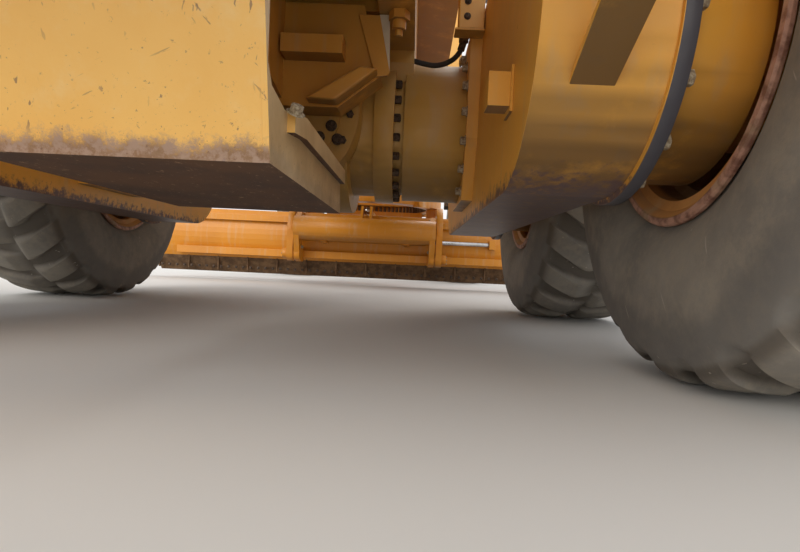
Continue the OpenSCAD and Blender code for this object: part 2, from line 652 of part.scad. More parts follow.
// Saddle on the beam, with the pivots of the lift cylinders
module cylinder_saddle() color(paint) difference() {
    union() {
        block([-lift_x + 110, circle_y - 90, saddle_z], [lift_x - 110, circle_y + 90, 2110]);
        both_sides() {
            block([lift_x - 110, circle_y - 90, lift_z - 60], [lift_x - 75, circle_y + 90, lift_z + 60]);
            for (y = [circle_y - 120, circle_y + 90]) block([lift_x - 110, y, lift_z - 60], [lift_x + 120, y + 30, lift_z + 60]);
            block([lift_x + 80, circle_y - 90, lift_z - 60], [lift_x + 120, circle_y + 90, lift_z + 60]);
        }
    }
    both_sides() bar_x(lift_x - 111, lift_x + 121, circle_y, lift_z, 24 + running);
}

// Front axle

module front_axle() color(paint) difference() {
    union() {
        along_y(wheelbase - axle_beam_half, wheelbase + axle_beam_half) polygon([
            [-king_x, 620], [-king_x, 790], [-500, 810], [-250, axle_top], [250, axle_top], [500, 810],
            [king_x, 790], [king_x, 620], [400, 590], [-400, 590]]);
        both_sides() bar_z(600, 810, king_x, wheelbase, 75);
    }
    both_sides() bar_z(599, 811, king_x, wheelbase, king_r + running);
}

king_r = 40;
knuckle_x = king_x + 88;
arm_y = wheelbase - 230;
module knuckle(side) color(paint) on_side(side) {
    bar_z(545, 865, king_x, wheelbase, king_r);
    knuckle_fork();
}
module knuckle_fork() difference() {
    union() {
        for (z = [545, 815]) {
            bar_z(z, z + 50, king_x, wheelbase, 80);
            block([king_x, wheelbase - 80, z], [knuckle_x + 52, wheelbase + 80, z + 50]);
        }
        block([knuckle_x, wheelbase - 80, 545], [knuckle_x + 52, wheelbase + 80, 865]);
        bar_x(knuckle_x + 2, drum_x, wheelbase, tyre_r, 170);
        bar_x(drum_x, spindle_x, wheelbase, tyre_r, spindle_r);
        // Steering arm
        block([king_x - 35, arm_y, 545], [king_x + 35, wheelbase, 585]);
        bar_z(545, 585, king_x, arm_y, 45);
    }
    // Room for the king pin's boss on the axle
    bar_z(595, 815, king_x, wheelbase, 83);
    bar_z(500, 586, king_x, arm_y, 18 + running);
}

module tie_rod() color(steel) {
    bar_x(-king_x, king_x, arm_y, 515, 25);
    both_sides() {
        bar_z(485, 544, king_x, arm_y, 38);
        bar_z(544, 600, king_x, arm_y, 18);
    }
}

// Drawbar with its ball, guide plate, shoes and circle drive
module drawbar() color(paint) {
    both_sides() along_z(draw_z0, draw_z1) polygon([[30, ball_y - 140], [150, ball_y - 140],
        [lift_x + 60, circle_y + 221], [lift_x + 60, circle_y - 329], [lift_x - 60, circle_y - 329],
        [lift_x - 60, circle_y + 191]]);
    block([-150, ball_y - 220, draw_z0], [150, ball_y - 120, draw_z1]);
    bar_y(ball_y - 130, ball_y - 40, 0, ball_z, 45);
    translate([0, ball_y, ball_z]) sphere(r = ball_r);
    block([-lift_x - 60, circle_y - 70, draw_z0], [lift_x + 60, circle_y + 70, draw_z1]);
    difference() {
        bar_z(draw_z0, draw_z0 + 30, 0, circle_y, circle_r - 50);
        bar_z(draw_z0 - 1, draw_z0 + 31, 0, circle_y, 540);
    }
    for (a = [45:90:315]) translate([0, circle_y, 0]) rotate([0, 0, a]) circle_shoe();
    // Circle drive
    bar_z(draw_z0 + 30, draw_z0 + 230, 0, drive_y, 120);
    block([-200, drive_y - 129, draw_z0], [200, drive_y + 131, draw_z0 + 30]);
    block([-560, drive_y - 99, draw_z0], [560, drive_y - 19, draw_z0 + 60]);
    // Open forks for the lift rods' eyes
    both_sides() for (x = [lift_x - eye_t / 2 - ear_gap - ear_t, lift_x + eye_t / 2 + ear_gap])
        along_x(x, x + ear_t) union() {
            translate([circle_y, eye_z]) circle(r = 60);
            translate([circle_y - 90, draw_z1]) square([180, eye_z - draw_z1 + 10]);
        }
}
// Shoe that wraps round the circle's edge, drawn on the +X side of the circle's middle
module circle_shoe() intersection() {
    block([500, -90, circle_z0 - 30], [circle_r + 60, 90, draw_z0 + 40]);
    union() {
        difference() {
            bar_z(circle_z0 - 20, draw_z0 + 30, 0, 0, circle_r + 40);
            bar_z(circle_z0 - 21, draw_z0, 0, 0, circle_r + face_gap);
            bar_z(draw_z0 - 1, draw_z0 + 31, 0, 0, circle_r - 60);
        }
        difference() {
            bar_z(circle_z0 - 20, circle_z0 - face_gap, 0, 0, circle_r + 10);
            bar_z(circle_z0 - 21, circle_z0, 0, 0, circle_r - 25);
        }
    }
}

module lift_barrel(side) color(paint) on_side(side) difference() {
    union() {
        bar_z(1545, 2540, lift_x, circle_y, lift_r);
        bar_x(lift_x - 108, lift_x + 118, circle_y, lift_z, 24);
        bar_z(lift_z - 50, lift_z + 50, lift_x, circle_y, lift_r + 5);
    }
    bar_z(1544, 2520, lift_x, circle_y, lift_rod_r + rod_gap);
}
module lift_rod(side) color(steel) on_side(side) {
    bar_z(eye_z + 20, eye_z + 1060, lift_x, circle_y, lift_rod_r);
    bar_x(lift_x - eye_t / 2, lift_x + eye_t / 2, circle_y, eye_z, eye_r);
}

// Circle with its blade arms
module circle_ring() color(paint) difference() {
    union() {
        difference() {
            bar_z(circle_z0, circle_z0 + circle_h, 0, circle_y, circle_r);
            bar_z(circle_z0 - 1, circle_z0 + circle_h + 1, 0, circle_y, circle_r - 160);
        }
        both_sides() {
            along_x(arm_x0, arm_x1) blade_arm();
            // Pad between the arm and the circle, clear of the shoes
            intersection() {
                block([600, circle_y - 210, arm_z[0]], [arm_x1, circle_y + 200, circle_z0]);
                bar_z(arm_z[0], circle_z0, 0, circle_y, circle_r - 32);
            }
        }
        both_sides() bar_x(arm_x0 - 9, arm_x0, tilt_y, tilt_z, 60);
        // Cross bar with the tilt cylinder's fork
        block([-560, tilt_base[0] + 60, 790], [560, tilt_base[0] + 140, circle_z0]);
        both_sides() block([32, tilt_base[0] - 50, 690], [54, tilt_base[0] + 140, 790]);
    }
    both_sides() bar_x(arm_x0 - 10, arm_x1 + 1, tilt_y, tilt_z, 32 + running);
    bar_x(-60, 60, tilt_base[0], tilt_base[1], 18 + running);
}

// Arm that bends down from the circle to the tilt pivot
bend_r = 300;
module blade_arm() union() {
    difference() {
        intersection() {
            translate([tilt_y - 70 + bend_r, arm_z[1] - bend_r]) circle(r = bend_r);
            translate([tilt_y - 70, arm_z[1] - bend_r - 1]) square([bend_r, bend_r + 1]);
        }
        translate([tilt_y + 220, arm_z[0] - 210]) circle(r = 210);
    }
    translate([tilt_y - 70 + bend_r - 10, arm_z[0]])
        square([circle_y + 200 - tilt_y + 80 - bend_r, arm_z[1] - arm_z[0]]);
    translate([tilt_y - 70, tilt_z]) square([84, arm_z[1] - bend_r - tilt_z]);
    translate([tilt_y, tilt_z]) circle(r = 70);
}

// Tilting carrier behind the blade
module blade_carrier() color(paint) difference() {
    union() {
        bar_x(-arm_x0 + 11, arm_x0 - 11, tube[0], tube[1], tube_r);
        // Saddles of the side-shift cylinder
        both_sides() along_x(380, 430) polygon([[tube[0], shift_z - 40], [shift_y - 45, shift_z - 58],
            [shift_y, shift_z - 58], [shift_y, shift_z + 58], [tube[0] + 60, 600], [tube[0], 600]]);
        both_sides() {
            along_x(carrier_x0, arm_x0 - 12) union() {
                translate([tilt_y, tilt_z]) circle(r = 66);
                polygon([[tilt_y - 60, tilt_z], [tube[0] - 90, 480], [tube[0] - 80, 620], [tilt_y + 20, 700],
                    [blade_y + 1, 700], [blade_y + 1, 560], [shift_y - 50, 540], [shift_y - 50, 380],
                    [blade_y + 1, 365], [blade_y + 1, 215], [tilt_y + 50, 215]]);
            }
            bar_x(arm_x0 - 12, arm_x1 + 40, tilt_y, tilt_z, 32);
            // Cap on the pivot pin
            bar_x(arm_x1 + face_gap, arm_x1 + 45, tilt_y, tilt_z, 50);
        }
        // Upright with the tilt cylinder's fork
        both_sides() along_x(32, 54) polygon([[tilt_y - 30, 500], [tilt_y - 50, 640],
            [tilt_pin[0] - 60, 790], [tilt_pin[0] + 40, 790], [tilt_pin[0] + 40, 715], [tilt_pin[0] - 10, 700],
            [tilt_y + 50, 600], [tilt_y + 30, 500]]);
    }
    for (r = [rail_low, rail_high])
        block([-arm_x0, blade_rail_y - face_gap, r[0] - face_gap], [arm_x0, blade_y + 113, r[1] + face_gap]);
    bar_x(-430 - 1, 430 + 1, shift_y, shift_z, shift_r + running);
}

module tilt_barrel() color(paint) difference() {
    union() {
        bar_y(tilt_base[0] - 620, tilt_base[0] - 70, 0, tilt_base[1], 42);
        block([-20, tilt_base[0] - 80, tilt_base[1] - 25], [20, tilt_base[0], tilt_base[1] + 25]);
        bar_x(-26, 26, tilt_base[0], tilt_base[1], 40);
        bar_x(-60, 60, tilt_base[0], tilt_base[1], 18);
    }
    bar_y(tilt_base[0] - 621, tilt_base[0] - 100, 0, tilt_base[1], 25 + rod_gap);
}
module tilt_rod() color(steel) {
    bar_y(tilt_pin[0] + 20, tilt_pin[0] + 420, 0, tilt_pin[1], 25);
    bar_x(-26, 26, tilt_pin[0], tilt_pin[1], 36);
}

// Mouldboard: a curved plate with two rails behind it
edge_z = 240;            // where the cutting edge takes over from the curve
blade_mid_z = (edge_z + blade_top) / 2;
blade_centre = blade_y + blade_r + blade_t;
blade_half_angle = asin((blade_top - edge_z) / 2 / blade_r);
function arc_point(r, a) = [blade_centre - r * cos(a), blade_mid_z + r * sin(a)];
arc_steps = 10;
blade_section = concat(
    [for (i = [0:arc_steps]) arc_point(blade_r, -blade_half_angle + 2 * blade_half_angle * i / arc_steps)],
    [for (i = [arc_steps:-1:0]) arc_point(blade_r + blade_t, -blade_half_angle + 2 * blade_half_angle * i / arc_steps)]);
module mouldboard() color(paint) {
    along_x(-blade_len / 2, blade_len / 2) polygon(blade_section);
    for (r = [rail_low, rail_high]) block([-blade_len / 2 + 233.5, blade_rail_y, r[0]], [blade_len / 2 - 233.5, blade_y + 35, r[1]]);
    // Lug for the side-shift rod
    block([shift_rod_x - 30, shift_y - 36, shift_z - 45], [shift_rod_x + 30, blade_y + 6, shift_z + 45]);
}
edge_start = arc_point(blade_r + blade_t, -blade_half_angle);
edge_front = arc_point(blade_r, -blade_half_angle);
edge_slope = tan(blade_half_angle);
edge_drop = edge_front[1] - blade_gap;
module cutting_edge() color(rust) along_x(-blade_len / 2, blade_len / 2) polygon([edge_front, edge_start,
    [edge_start[0] + (edge_start[1] - blade_gap) * edge_slope, blade_gap],
    [edge_front[0] + edge_drop * edge_slope, blade_gap]]);

module shift_barrel() color(paint) difference() {
    union() {
        bar_x(-660, 600, shift_y, shift_z, shift_r);
        // Collars on both sides of a saddle
        both_sides() for (x = [360, 431]) bar_x(x, x + 19, shift_y, shift_z, shift_r + 6);
    }
    bar_x(-640, 601, shift_y, shift_z, 22 + rod_gap);
}
module shift_rod() color(steel) bar_x(shift_rod_x - 1280, shift_rod_x - 30, shift_y, shift_z, 22);

place() rear_frame();
place() transmission_guard();
place() transmission();
place() engine();
place() radiator();
place() hood();
place() on_side(-1) hood_door();  // hood_door_left
place() on_side(1) hood_door();  // hood_door_right
place() rear_grille();
place() stacks();
place() axle_housing();
place() tandem(-1);  // tandem_left
place() tandem(1);  // tandem_right
place() rim(-1, wheel_ys[0]);  // rim_left_rear
place() rim(-1, wheel_ys[1]);  // rim_left_middle
place() rim(1, wheel_ys[0]);  // rim_right_rear
place() rim(1, wheel_ys[1]);  // rim_right_middle
place() tyre(-1, wheel_ys[0]);  // tyre_left_rear
place() tyre(-1, wheel_ys[1]);  // tyre_left_middle
place() tyre(1, wheel_ys[0]);  // tyre_right_rear
place() tyre(1, wheel_ys[1]);  // tyre_right_middle
place() articulation_barrel(-1);  // articulation_barrel_left
place() articulation_barrel(1);  // articulation_barrel_right
place() articulation_rod(-1);  // articulation_rod_left
place() articulation_rod(1);  // articulation_rod_right
place() front_frame();
place() cab_body();
place() cab_roof();
place() cab_glass();
place() cab_interior();
place() cab_steps();
place() cab_door(-1);  // cab_door_left
place() cab_door(1);  // cab_door_right
place() door_glass(-1);  // door_glass_left
place() door_glass(1);  // door_glass_right
place() cylinder_saddle();
place() front_axle();
place() knuckle(-1);  // knuckle_left
place() knuckle(1);  // knuckle_right
place() tie_rod();
place() rim(-1, wheelbase);  // rim_left_front
place() rim(1, wheelbase);  // rim_right_front
place() tyre(-1, wheelbase);  // tyre_left_front
place() tyre(1, wheelbase);  // tyre_right_front
place() drawbar();
place() lift_barrel(-1);  // lift_barrel_left
place() lift_barrel(1);  // lift_barrel_right
place() lift_rod(-1);  // lift_rod_left
place() lift_rod(1);  // lift_rod_right
place() circle_ring();  // circle
place() blade_carrier();
place() tilt_barrel();
place() tilt_rod();
place() mouldboard();
place() cutting_edge();
place() shift_barrel();
place() shift_rod();
place() work_lamps();
place() { mirrors(); grab_rails(); }
place() rear_fittings();
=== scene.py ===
"""Looks of a motor grader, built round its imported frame, in metres.

+X is the machine's right, +Y is forward and +Z is up. The camera lies near the ground behind the machine,
between its rear wheels, and looks forward under it.
"""

import math

import bmesh
import bpy
from mathutils import Matrix, Vector


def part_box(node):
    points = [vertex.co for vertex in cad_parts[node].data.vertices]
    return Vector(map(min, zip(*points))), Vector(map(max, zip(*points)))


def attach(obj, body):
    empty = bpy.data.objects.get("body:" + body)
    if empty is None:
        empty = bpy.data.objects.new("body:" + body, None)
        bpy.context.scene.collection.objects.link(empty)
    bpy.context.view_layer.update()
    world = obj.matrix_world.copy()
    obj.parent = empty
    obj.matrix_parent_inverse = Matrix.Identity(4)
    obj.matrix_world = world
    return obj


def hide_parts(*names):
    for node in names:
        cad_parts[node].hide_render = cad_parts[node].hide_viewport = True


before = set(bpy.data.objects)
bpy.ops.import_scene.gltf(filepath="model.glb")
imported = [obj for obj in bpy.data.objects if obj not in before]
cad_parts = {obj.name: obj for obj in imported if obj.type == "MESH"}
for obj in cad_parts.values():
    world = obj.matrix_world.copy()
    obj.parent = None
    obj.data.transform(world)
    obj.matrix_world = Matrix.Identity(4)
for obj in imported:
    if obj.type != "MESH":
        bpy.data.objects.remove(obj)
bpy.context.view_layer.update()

SIDES = (("left", -1), ("right", 1))

# Places taken from the frame


def middle(node):
    """Middle of a CAD node's box."""
    low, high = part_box(node)
    return (low + high) / 2


REAR_AXLE = middle("rim_right_rear")
MIDDLE_AXLE = middle("rim_right_middle")
WHEEL_Z = middle("tyre_right_rear").z
TYRE_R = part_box("tyre_right_rear")[1].z - WHEEL_Z
TANDEM_Y = (REAR_AXLE.y + MIDDLE_AXLE.y) / 2


def at(distance):
    """Y of a place that lies this far ahead of the middle of the tandem wheels."""
    return TANDEM_Y + distance


AXLE_Z = 0.700           # middle of the axle housing
TANDEM_X = 0.877         # outer wall of a tandem housing
ENGINE_HALF = 0.330      # half width of the engine's block
HOOD_X = 0.540           # outer face of the hood's side
CAB_X = 0.760            # outer face of the cab's side
LIFT_X = 0.600           # axis of a lift cylinder
CIRCLE_Y = at(4.279)     # middle of the circle


# Colours and materials


def linear(channel):
    """One sRGB channel, 0 to 255, as a linear value."""
    value = channel / 255
    return value / 12.92 if value <= 0.04045 else ((value + 0.055) / 1.055) ** 2.4


def rgb(red, green, blue):
    return (linear(red), linear(green), linear(blue), 1.0)


YELLOW = rgb(232, 176, 80)
YELLOW_DEEP = rgb(214, 156, 64)
DUST = rgb(190, 170, 138)
DIRT = rgb(120, 88, 50)
# Painted shade and grime on what faces down
SHADE_AND_GRIME = rgb(84, 62, 40)
RUST = rgb(112, 70, 46)
CHIPPED = rgb(98, 74, 70)


class Surface:
    """A material and short calls for its nodes."""

    def __init__(self, name):
        self.material = bpy.data.materials.new(name)
        self.material.use_nodes = True
        self.tree = self.material.node_tree
        self.tree.nodes.clear()
        self.shader = self.node("BsdfPrincipled")
        self.link(self.shader.outputs[0], self.node("OutputMaterial").inputs[0])
        self.place = self.node("TexCoord").outputs["Object"]

    def node(self, kind, **inputs):
        """A node with some inputs set; an underscore stands for the space in an input's name."""
        node = self.tree.nodes.new("ShaderNode" + kind)
        for name, value in inputs.items():
            self.put(node.inputs[name.replace("_", " ")], value)
        return node

    def link(self, start, end):
        self.tree.links.new(start, end)

    def put(self, socket, value):
        """Gives a socket a number, a colour or another node's output."""
        if isinstance(value, bpy.types.NodeSocket):
            self.link(value, socket)
        else:
            socket.default_value = value

    def scaled(self, scale, place=None):
        return self.node("Mapping", Vector=place or self.place, Scale=scale).outputs[0]

    def turned(self, angles):
        return self.node("Mapping", Vector=self.place, Rotation=angles).outputs[0]

    def noise(self, scale, detail=4.0, rough=0.55, place=None):
        node = self.node("TexNoise", Vector=place or self.place, Scale=scale, Detail=detail, Roughness=rough)
        return node.outputs["Fac"]

    def span(self, value, low, high):
        """0 below low, 1 above high, smooth between; high may lie below low."""
        flip = high < low
        node = self.node("MapRange", Value=value, From_Min=min(low, high), From_Max=max(low, high),
                         To_Min=float(flip), To_Max=float(not flip))
        node.interpolation_type = "SMOOTHSTEP"
        return node.outputs["Result"]

    def calc(self, operation, first, second=0.0, clamp=False):
        node = self.node("Math")
        node.operation = operation
        node.use_clamp = clamp
        self.put(node.inputs[0], first)
        self.put(node.inputs[1], second)
        return node.outputs[0]

    def times(self, first, second, clamp=False):
        return self.calc("MULTIPLY", first, second, clamp)

    def ragged(self, value, noise, amount):
        """The value, moved up and down by a noise."""
        return self.calc("ADD", value, self.times(self.calc("SUBTRACT", noise, 0.5), amount))

    def mix(self, share, first, second):
        node = self.node("Mix")
        node.data_type = "RGBA"
        self.put(node.inputs[0], share)
        self.put(node.inputs[6], first)
        self.put(node.inputs[7], second)
        return node.outputs[2]

    def over(self, colour, other, share, depth):
        """Lays another colour over the first where share is 1, as strong as depth says."""
        return self.mix(self.times(share, depth), colour, other)

    def part(self, vector, axis):
        return self.node("SeparateXYZ", Vector=vector).outputs[axis]

    def facing(self, axis):
        """How far the surface faces along +axis, from -1 to 1, in the piece's own frame."""
        return self.part(self.node("TexCoord").outputs["Normal"], axis)

    def wheel_radius(self):
        """Distance from the axle in a wheel's own frame."""
        squares = [self.calc("POWER", self.part(self.place, axis), 2.0) for axis in (1, 2)]
        return self.calc("SQRT", self.calc("ADD", *squares))

    def bump(self, height, strength, distance=0.002):
        node = self.node("Bump", Strength=strength, Distance=distance, Height=height)
        self.link(node.outputs[0], self.shader.inputs["Normal"])

    def edges(self, radius):
        """1 near the piece's sharp edges."""
        bevel = self.node("Bevel", Radius=radius)
        bevel.samples = 4
        dot = self.node("VectorMath")
        dot.operation = "DOT_PRODUCT"
        self.link(bevel.outputs[0], dot.inputs[0])
        self.link(self.node("NewGeometry").outputs["Normal"], dot.inputs[1])
        return self.span(dot.outputs["Value"], 0.995, 0.9)

    def finish(self, colour, rough, metal=0.0):
        self.put(self.shader.inputs["Base Color"], colour)
        self.put(self.shader.inputs["Roughness"], rough)
        self.shader.inputs["Metallic"].default_value = metal
        return self.material


def paint(name, base, deep, dust=0.5, shade_and_grime=0.5, dirt_top=0.0, rust_top=0.0, chips=0.35, band=None):
    """Worn machine paint. Below dirt_top it goes brown with dirt, and below rust_top it is chipped to rust.

    band gives a start, an end and a colour along the machine's width.
    """
    s = Surface(name)
    height = s.part(s.place, 2)
    fine = s.noise(38.0, 6.0, 0.65)
    middling = s.noise(9.0, 6.0, 0.6)
    colour = s.mix(s.span(s.noise(1.6, 5.0), 0.35, 0.7), base, deep)
    # Faint runs down the sides
    runs = s.span(s.noise(1.0, 3.0, 0.5, s.scaled((26, 26, 1.3))), 0.52, 0.72)
    colour = s.over(colour, DUST, runs, 0.22)
    # Dust lies on what faces up and in broad pale clouds elsewhere
    up = s.times(s.span(s.facing(2), 0.1, 0.9), 0.75)
    cloud = s.times(s.span(middling, 0.42, 0.75), 0.35)
    dusty = s.times(s.calc("ADD", up, cloud), dust, True)
    colour = s.mix(dusty, colour, DUST)
    # Painted shade and grime darken what faces down, in patches
    shaded_underside = s.times(s.span(s.facing(2), -0.25, -0.9), s.span(middling, 0.15, 0.5))
    colour = s.mix(s.times(shaded_underside, shade_and_grime, True), colour, SHADE_AND_GRIME)
    if dirt_top:
        edge = s.ragged(height, middling, 0.22)
        colour = s.over(colour, DIRT, s.span(edge, dirt_top, dirt_top - 0.12), 0.7)
    if rust_top:
        edge = s.ragged(height, fine, 0.16)
        colour = s.mix(s.span(edge, rust_top, rust_top - 0.035), colour, CHIPPED)
    # Small chips in a few places, and worn edges
    chip = s.times(s.span(s.noise(85.0, 7.0, 0.7), 0.66, 0.69), s.span(s.noise(2.4, 4.0), 0.52, 0.62))
    worn = s.times(s.edges(0.005), s.span(fine, 0.48, 0.62))
    bare = s.times(s.calc("MAXIMUM", chip, worn), chips, True)
    colour = s.mix(bare, colour, RUST)
    if band:
        across = s.calc("ABSOLUTE", s.part(s.place, 0))
        start, end, tint = band
        blur = 0.0005
        inside = s.times(s.span(across, start - blur, start + blur), s.span(across, end + blur, end - blur))
        colour = s.mix(inside, colour, tint)
    s.bump(s.noise(160.0, 3.0), 0.12, 0.001)
    return s.finish(colour, s.calc("ADD", 0.42, s.times(s.calc("MAXIMUM", dusty, bare), 0.4)))


def scuffed_guard():
    """The guard's paint: scratched behind, chipped at its lower edge, dusty on the sides, dark brown below as
    painted shade.
    """
    s = Surface("guard_paint")
    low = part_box("transmission_guard")[0].z
    height = s.part(s.place, 2)
    down = s.span(s.facing(2), -0.55, -0.85)
    side = s.span(s.calc("ABSOLUTE", s.facing(0)), 0.55, 0.85)
    fine = s.noise(70.0, 8.0, 0.7)
    large = s.noise(3.0, 5.0)
    colour = s.mix(s.span(large, 0.3, 0.7), rgb(240, 182, 88), rgb(246, 194, 104))
    colour = s.over(colour, rgb(244, 212, 150), s.span(s.noise(9.0, 6.0, 0.7), 0.5, 0.75), 0.4)
    # Scratches, most of them nearly upright
    for turn, scale, threshold, depth, spread in (
            (0.10, (95, 95, 3.4), 0.66, 0.85, 4.1), (-0.22, (120, 120, 4.2), 0.67, 0.75, 5.3),
            (0.75, (110, 110, 4.0), 0.70, 0.6, 6.7), (-1.2, (140, 140, 5.0), 0.71, 0.5, 3.2)):
        lines = s.noise(1.0, 2.5, 0.55, s.scaled(scale, s.turned((0.0, turn, 0.0))))
        gate = s.span(s.noise(spread, 3.0), 0.50, 0.60)
        mark = s.times(s.span(lines, threshold, threshold + 0.025), gate)
        colour = s.over(colour, rgb(128, 98, 78), mark, depth)
    speck = s.times(s.span(fine, 0.63, 0.66), s.span(large, 0.45, 0.62))
    colour = s.over(colour, rgb(120, 92, 82), speck, 0.7)
    # Chipped and scuffed towards the lower edge
    near = s.span(s.ragged(height, s.noise(9.0, 5.0, 0.6), 0.16), low + 0.135, low + 0.02)
    grain = s.noise(120.0, 8.0, 0.75)
    flecks = s.times(s.span(grain, 0.60, 0.66), near)
    colour = s.over(colour, rgb(122, 92, 84), flecks, 0.9)
    band = s.span(s.ragged(height, s.noise(30.0, 8.0, 0.8), 0.11), low + 0.040, low + 0.012)
    bare = s.mix(s.span(s.noise(60.0, 7.0, 0.7), 0.4, 0.6), rgb(150, 128, 122), rgb(112, 84, 74))
    colour = s.over(colour, bare, band, 0.85)
    # Sides with pale dust and specks
    dusty = s.mix(s.span(s.noise(7.0, 6.0), 0.35, 0.7), rgb(214, 190, 150), rgb(186, 160, 122))
    specks = s.times(s.span(grain, 0.60, 0.64), s.span(height, low + 0.12, low))
    colour = s.over(colour, s.mix(specks, dusty, rgb(128, 104, 92)), side, 0.85)
    # Painted shade on the underside, dark brown, with pale specks
    shaded_underside = s.mix(s.span(s.noise(5.0, 6.0, 0.6), 0.35, 0.65), rgb(100, 66, 38), rgb(78, 52, 34))
    streak = s.noise(1.0, 7.0, 0.7, s.scaled((90, 30, 90)))
    shaded_underside = s.over(shaded_underside, rgb(176, 142, 104), s.span(streak, 0.60, 0.66), 0.7)
    colour = s.mix(down, colour, shaded_underside)
    s.bump(s.calc("ADD", s.noise(90.0, 4.0), s.times(flecks, -0.8)), 0.25, 0.0015)
    return s.finish(colour, s.calc("ADD", 0.45, s.times(s.calc("MAXIMUM", band, down), 0.3)))


def rim_finish():
    """Rim in the wheel's own frame: rusty edge, bright cone, and painted shade on the barrel inside."""
    s = Surface("rim_paint")
    radius = s.wheel_radius()
    colour = s.mix(s.span(s.noise(5.0, 5.0), 0.35, 0.7), rgb(222, 158, 88), rgb(196, 134, 72))
    rusty = s.mix(s.span(s.noise(40.0, 6.0), 0.4, 0.65), rgb(186, 140, 118), rgb(126, 84, 66))
    colour = s.mix(s.span(radius, 0.344, 0.349), colour, rusty)
    # Painted shade on the barrel inside, between the cone and the disc
    barrel_shade = s.times(s.span(radius, 0.3075, 0.3055), s.span(radius, 0.27, 0.29))
    colour = s.over(colour, rgb(110, 74, 40), barrel_shade, 0.75)
    colour = s.over(colour, rgb(190, 164, 128), s.span(s.noise(12.0, 6.0), 0.45, 0.7), 0.5)
    s.bump(s.noise(140.0, 3.0), 0.15, 0.001)
    return s.finish(colour, 0.6)


def dusty_rubber():
    """Tyre rubber in the wheel's own frame: dusty walls, darker near the tread and at the bottom of the
    grooves.
    """
    s = Surface("dusty_rubber")
    radius = s.wheel_radius()
    streak = s.noise(26.0, 7.0, 0.7)
    cloud = s.noise(5.0, 5.0, 0.6)
    colour = s.mix(s.span(cloud, 0.3, 0.7), rgb(142, 135, 124), rgb(120, 114, 106))
    colour = s.over(colour, rgb(156, 145, 127), s.span(streak, 0.4, 0.7), 0.5)
    ragged = s.ragged(radius, cloud, 0.10)
    shoulder = s.times(s.span(ragged, 0.545, 0.60), s.span(ragged, 0.70, 0.65))
    colour = s.over(colour, rgb(98, 95, 92), shoulder, 0.6)
    # Darker brown at the bottom of the grooves
    groove = s.times(s.span(radius, TYRE_R - 0.012, TYRE_R - 0.03),
                     s.span(radius, TYRE_R - 0.05, TYRE_R - 0.035))
    colour = s.over(colour, rgb(82, 73, 63), groove, 0.7)
    # Fine pale scratches on the walls
    lines = s.noise(1.0, 2.0, 0.5, s.scaled((60, 60, 2.0), s.turned((0.6, 0.0, 0.0))))
    colour = s.over(colour, rgb(176, 168, 154), s.span(lines, 0.72, 0.75), 0.6)
    s.bump(s.calc("ADD", s.times(s.noise(160.0, 4.0), 0.6), streak), 0.35, 0.002)
    return s.finish(colour, 0.86)


def bare_metal(name, light, dark, rough=0.45, metal=0.6, scale=30.0):
    s = Surface(name)
    share = s.span(s.noise(scale, 6.0, 0.65), 0.35, 0.65)
    colour = s.mix(share, light, dark)
    s.bump(s.noise(scale * 5, 3.0), 0.15, 0.001)
    return s.finish(colour, s.calc("ADD", rough, s.times(share, 0.25)), metal)


def polished_rod():
    s = Surface("polished_rod")
    colour = s.mix(s.span(s.noise(6.0, 4.0), 0.4, 0.7), rgb(205, 205, 208), rgb(168, 166, 162))
    return s.finish(colour, 0.18, 0.95)


def plain(name, colour, rough=0.5, metal=0.0, scale=25.0, share=0.25):
    """A simple finish with some cloudy variation."""
    s = Surface(name)
    darker = tuple(c * 0.6 for c in colour[:3]) + (1.0,)
    mixed = s.over(colour, darker, s.span(s.noise(scale, 5.0, 0.6), 0.35, 0.7), share)
    s.bump(s.noise(scale * 6, 3.0), 0.1, 0.001)
    return s.finish(mixed, rough, metal)


def clear_glass():
    s = Surface("clear_glass")
    s.finish(rgb(214, 226, 224), 0.04)
    s.shader.inputs["Alpha"].default_value = 0.28
    return s.material


PAINT = paint("machine_paint", YELLOW, YELLOW_DEEP, 0.45, 0.55)
TANDEM_PAINT = paint("tandem_paint", rgb(240, 178, 74), rgb(232, 168, 64), 0.3, 0.85, 0.44, 0.425,
                     band=(0.8785, 0.9055, rgb(74, 72, 78)))
# A darker copy of the yellow paint: painted shade for the axle, which lies in shade under the machine
SHADED_AXLE_PAINT = paint("shaded_axle_paint", rgb(206, 162, 78), rgb(176, 134, 62), 0.45, 0.6)
CASTING_PAINT = paint("casting_paint", rgb(226, 166, 72), rgb(200, 144, 60), 0.3, 0.6)
RIM_PAINT = rim_finish()
BLADE_PAINT = paint("blade_paint", rgb(212, 138, 20), rgb(198, 126, 16), 0.06, 0.4)
GUARD_PAINT = scuffed_guard()
DARK_PAINT = paint("dark_paint", rgb(58, 56, 55), rgb(44, 43, 43), 0.3, 0.3, chips=0.2)
BOLT = bare_metal("bolt_metal", rgb(196, 184, 158), rgb(132, 112, 88), 0.5, 0.3, 120.0)
DARK_BOLT = bare_metal("dark_bolt_metal", rgb(92, 74, 58), rgb(58, 46, 38), 0.55, 0.4, 120.0)
WORN_STEEL = bare_metal("worn_steel", rgb(128, 98, 76), rgb(88, 62, 46), 0.6, 0.35, 18.0)
EDGE_STEEL = bare_metal("edge_steel", rgb(112, 84, 54), rgb(82, 60, 40), 0.7, 0.1, 14.0)
ROD = polished_rod()
RUBBER = dusty_rubber()
HOSE = plain("hose_rubber", rgb(40, 39, 40), 0.6)
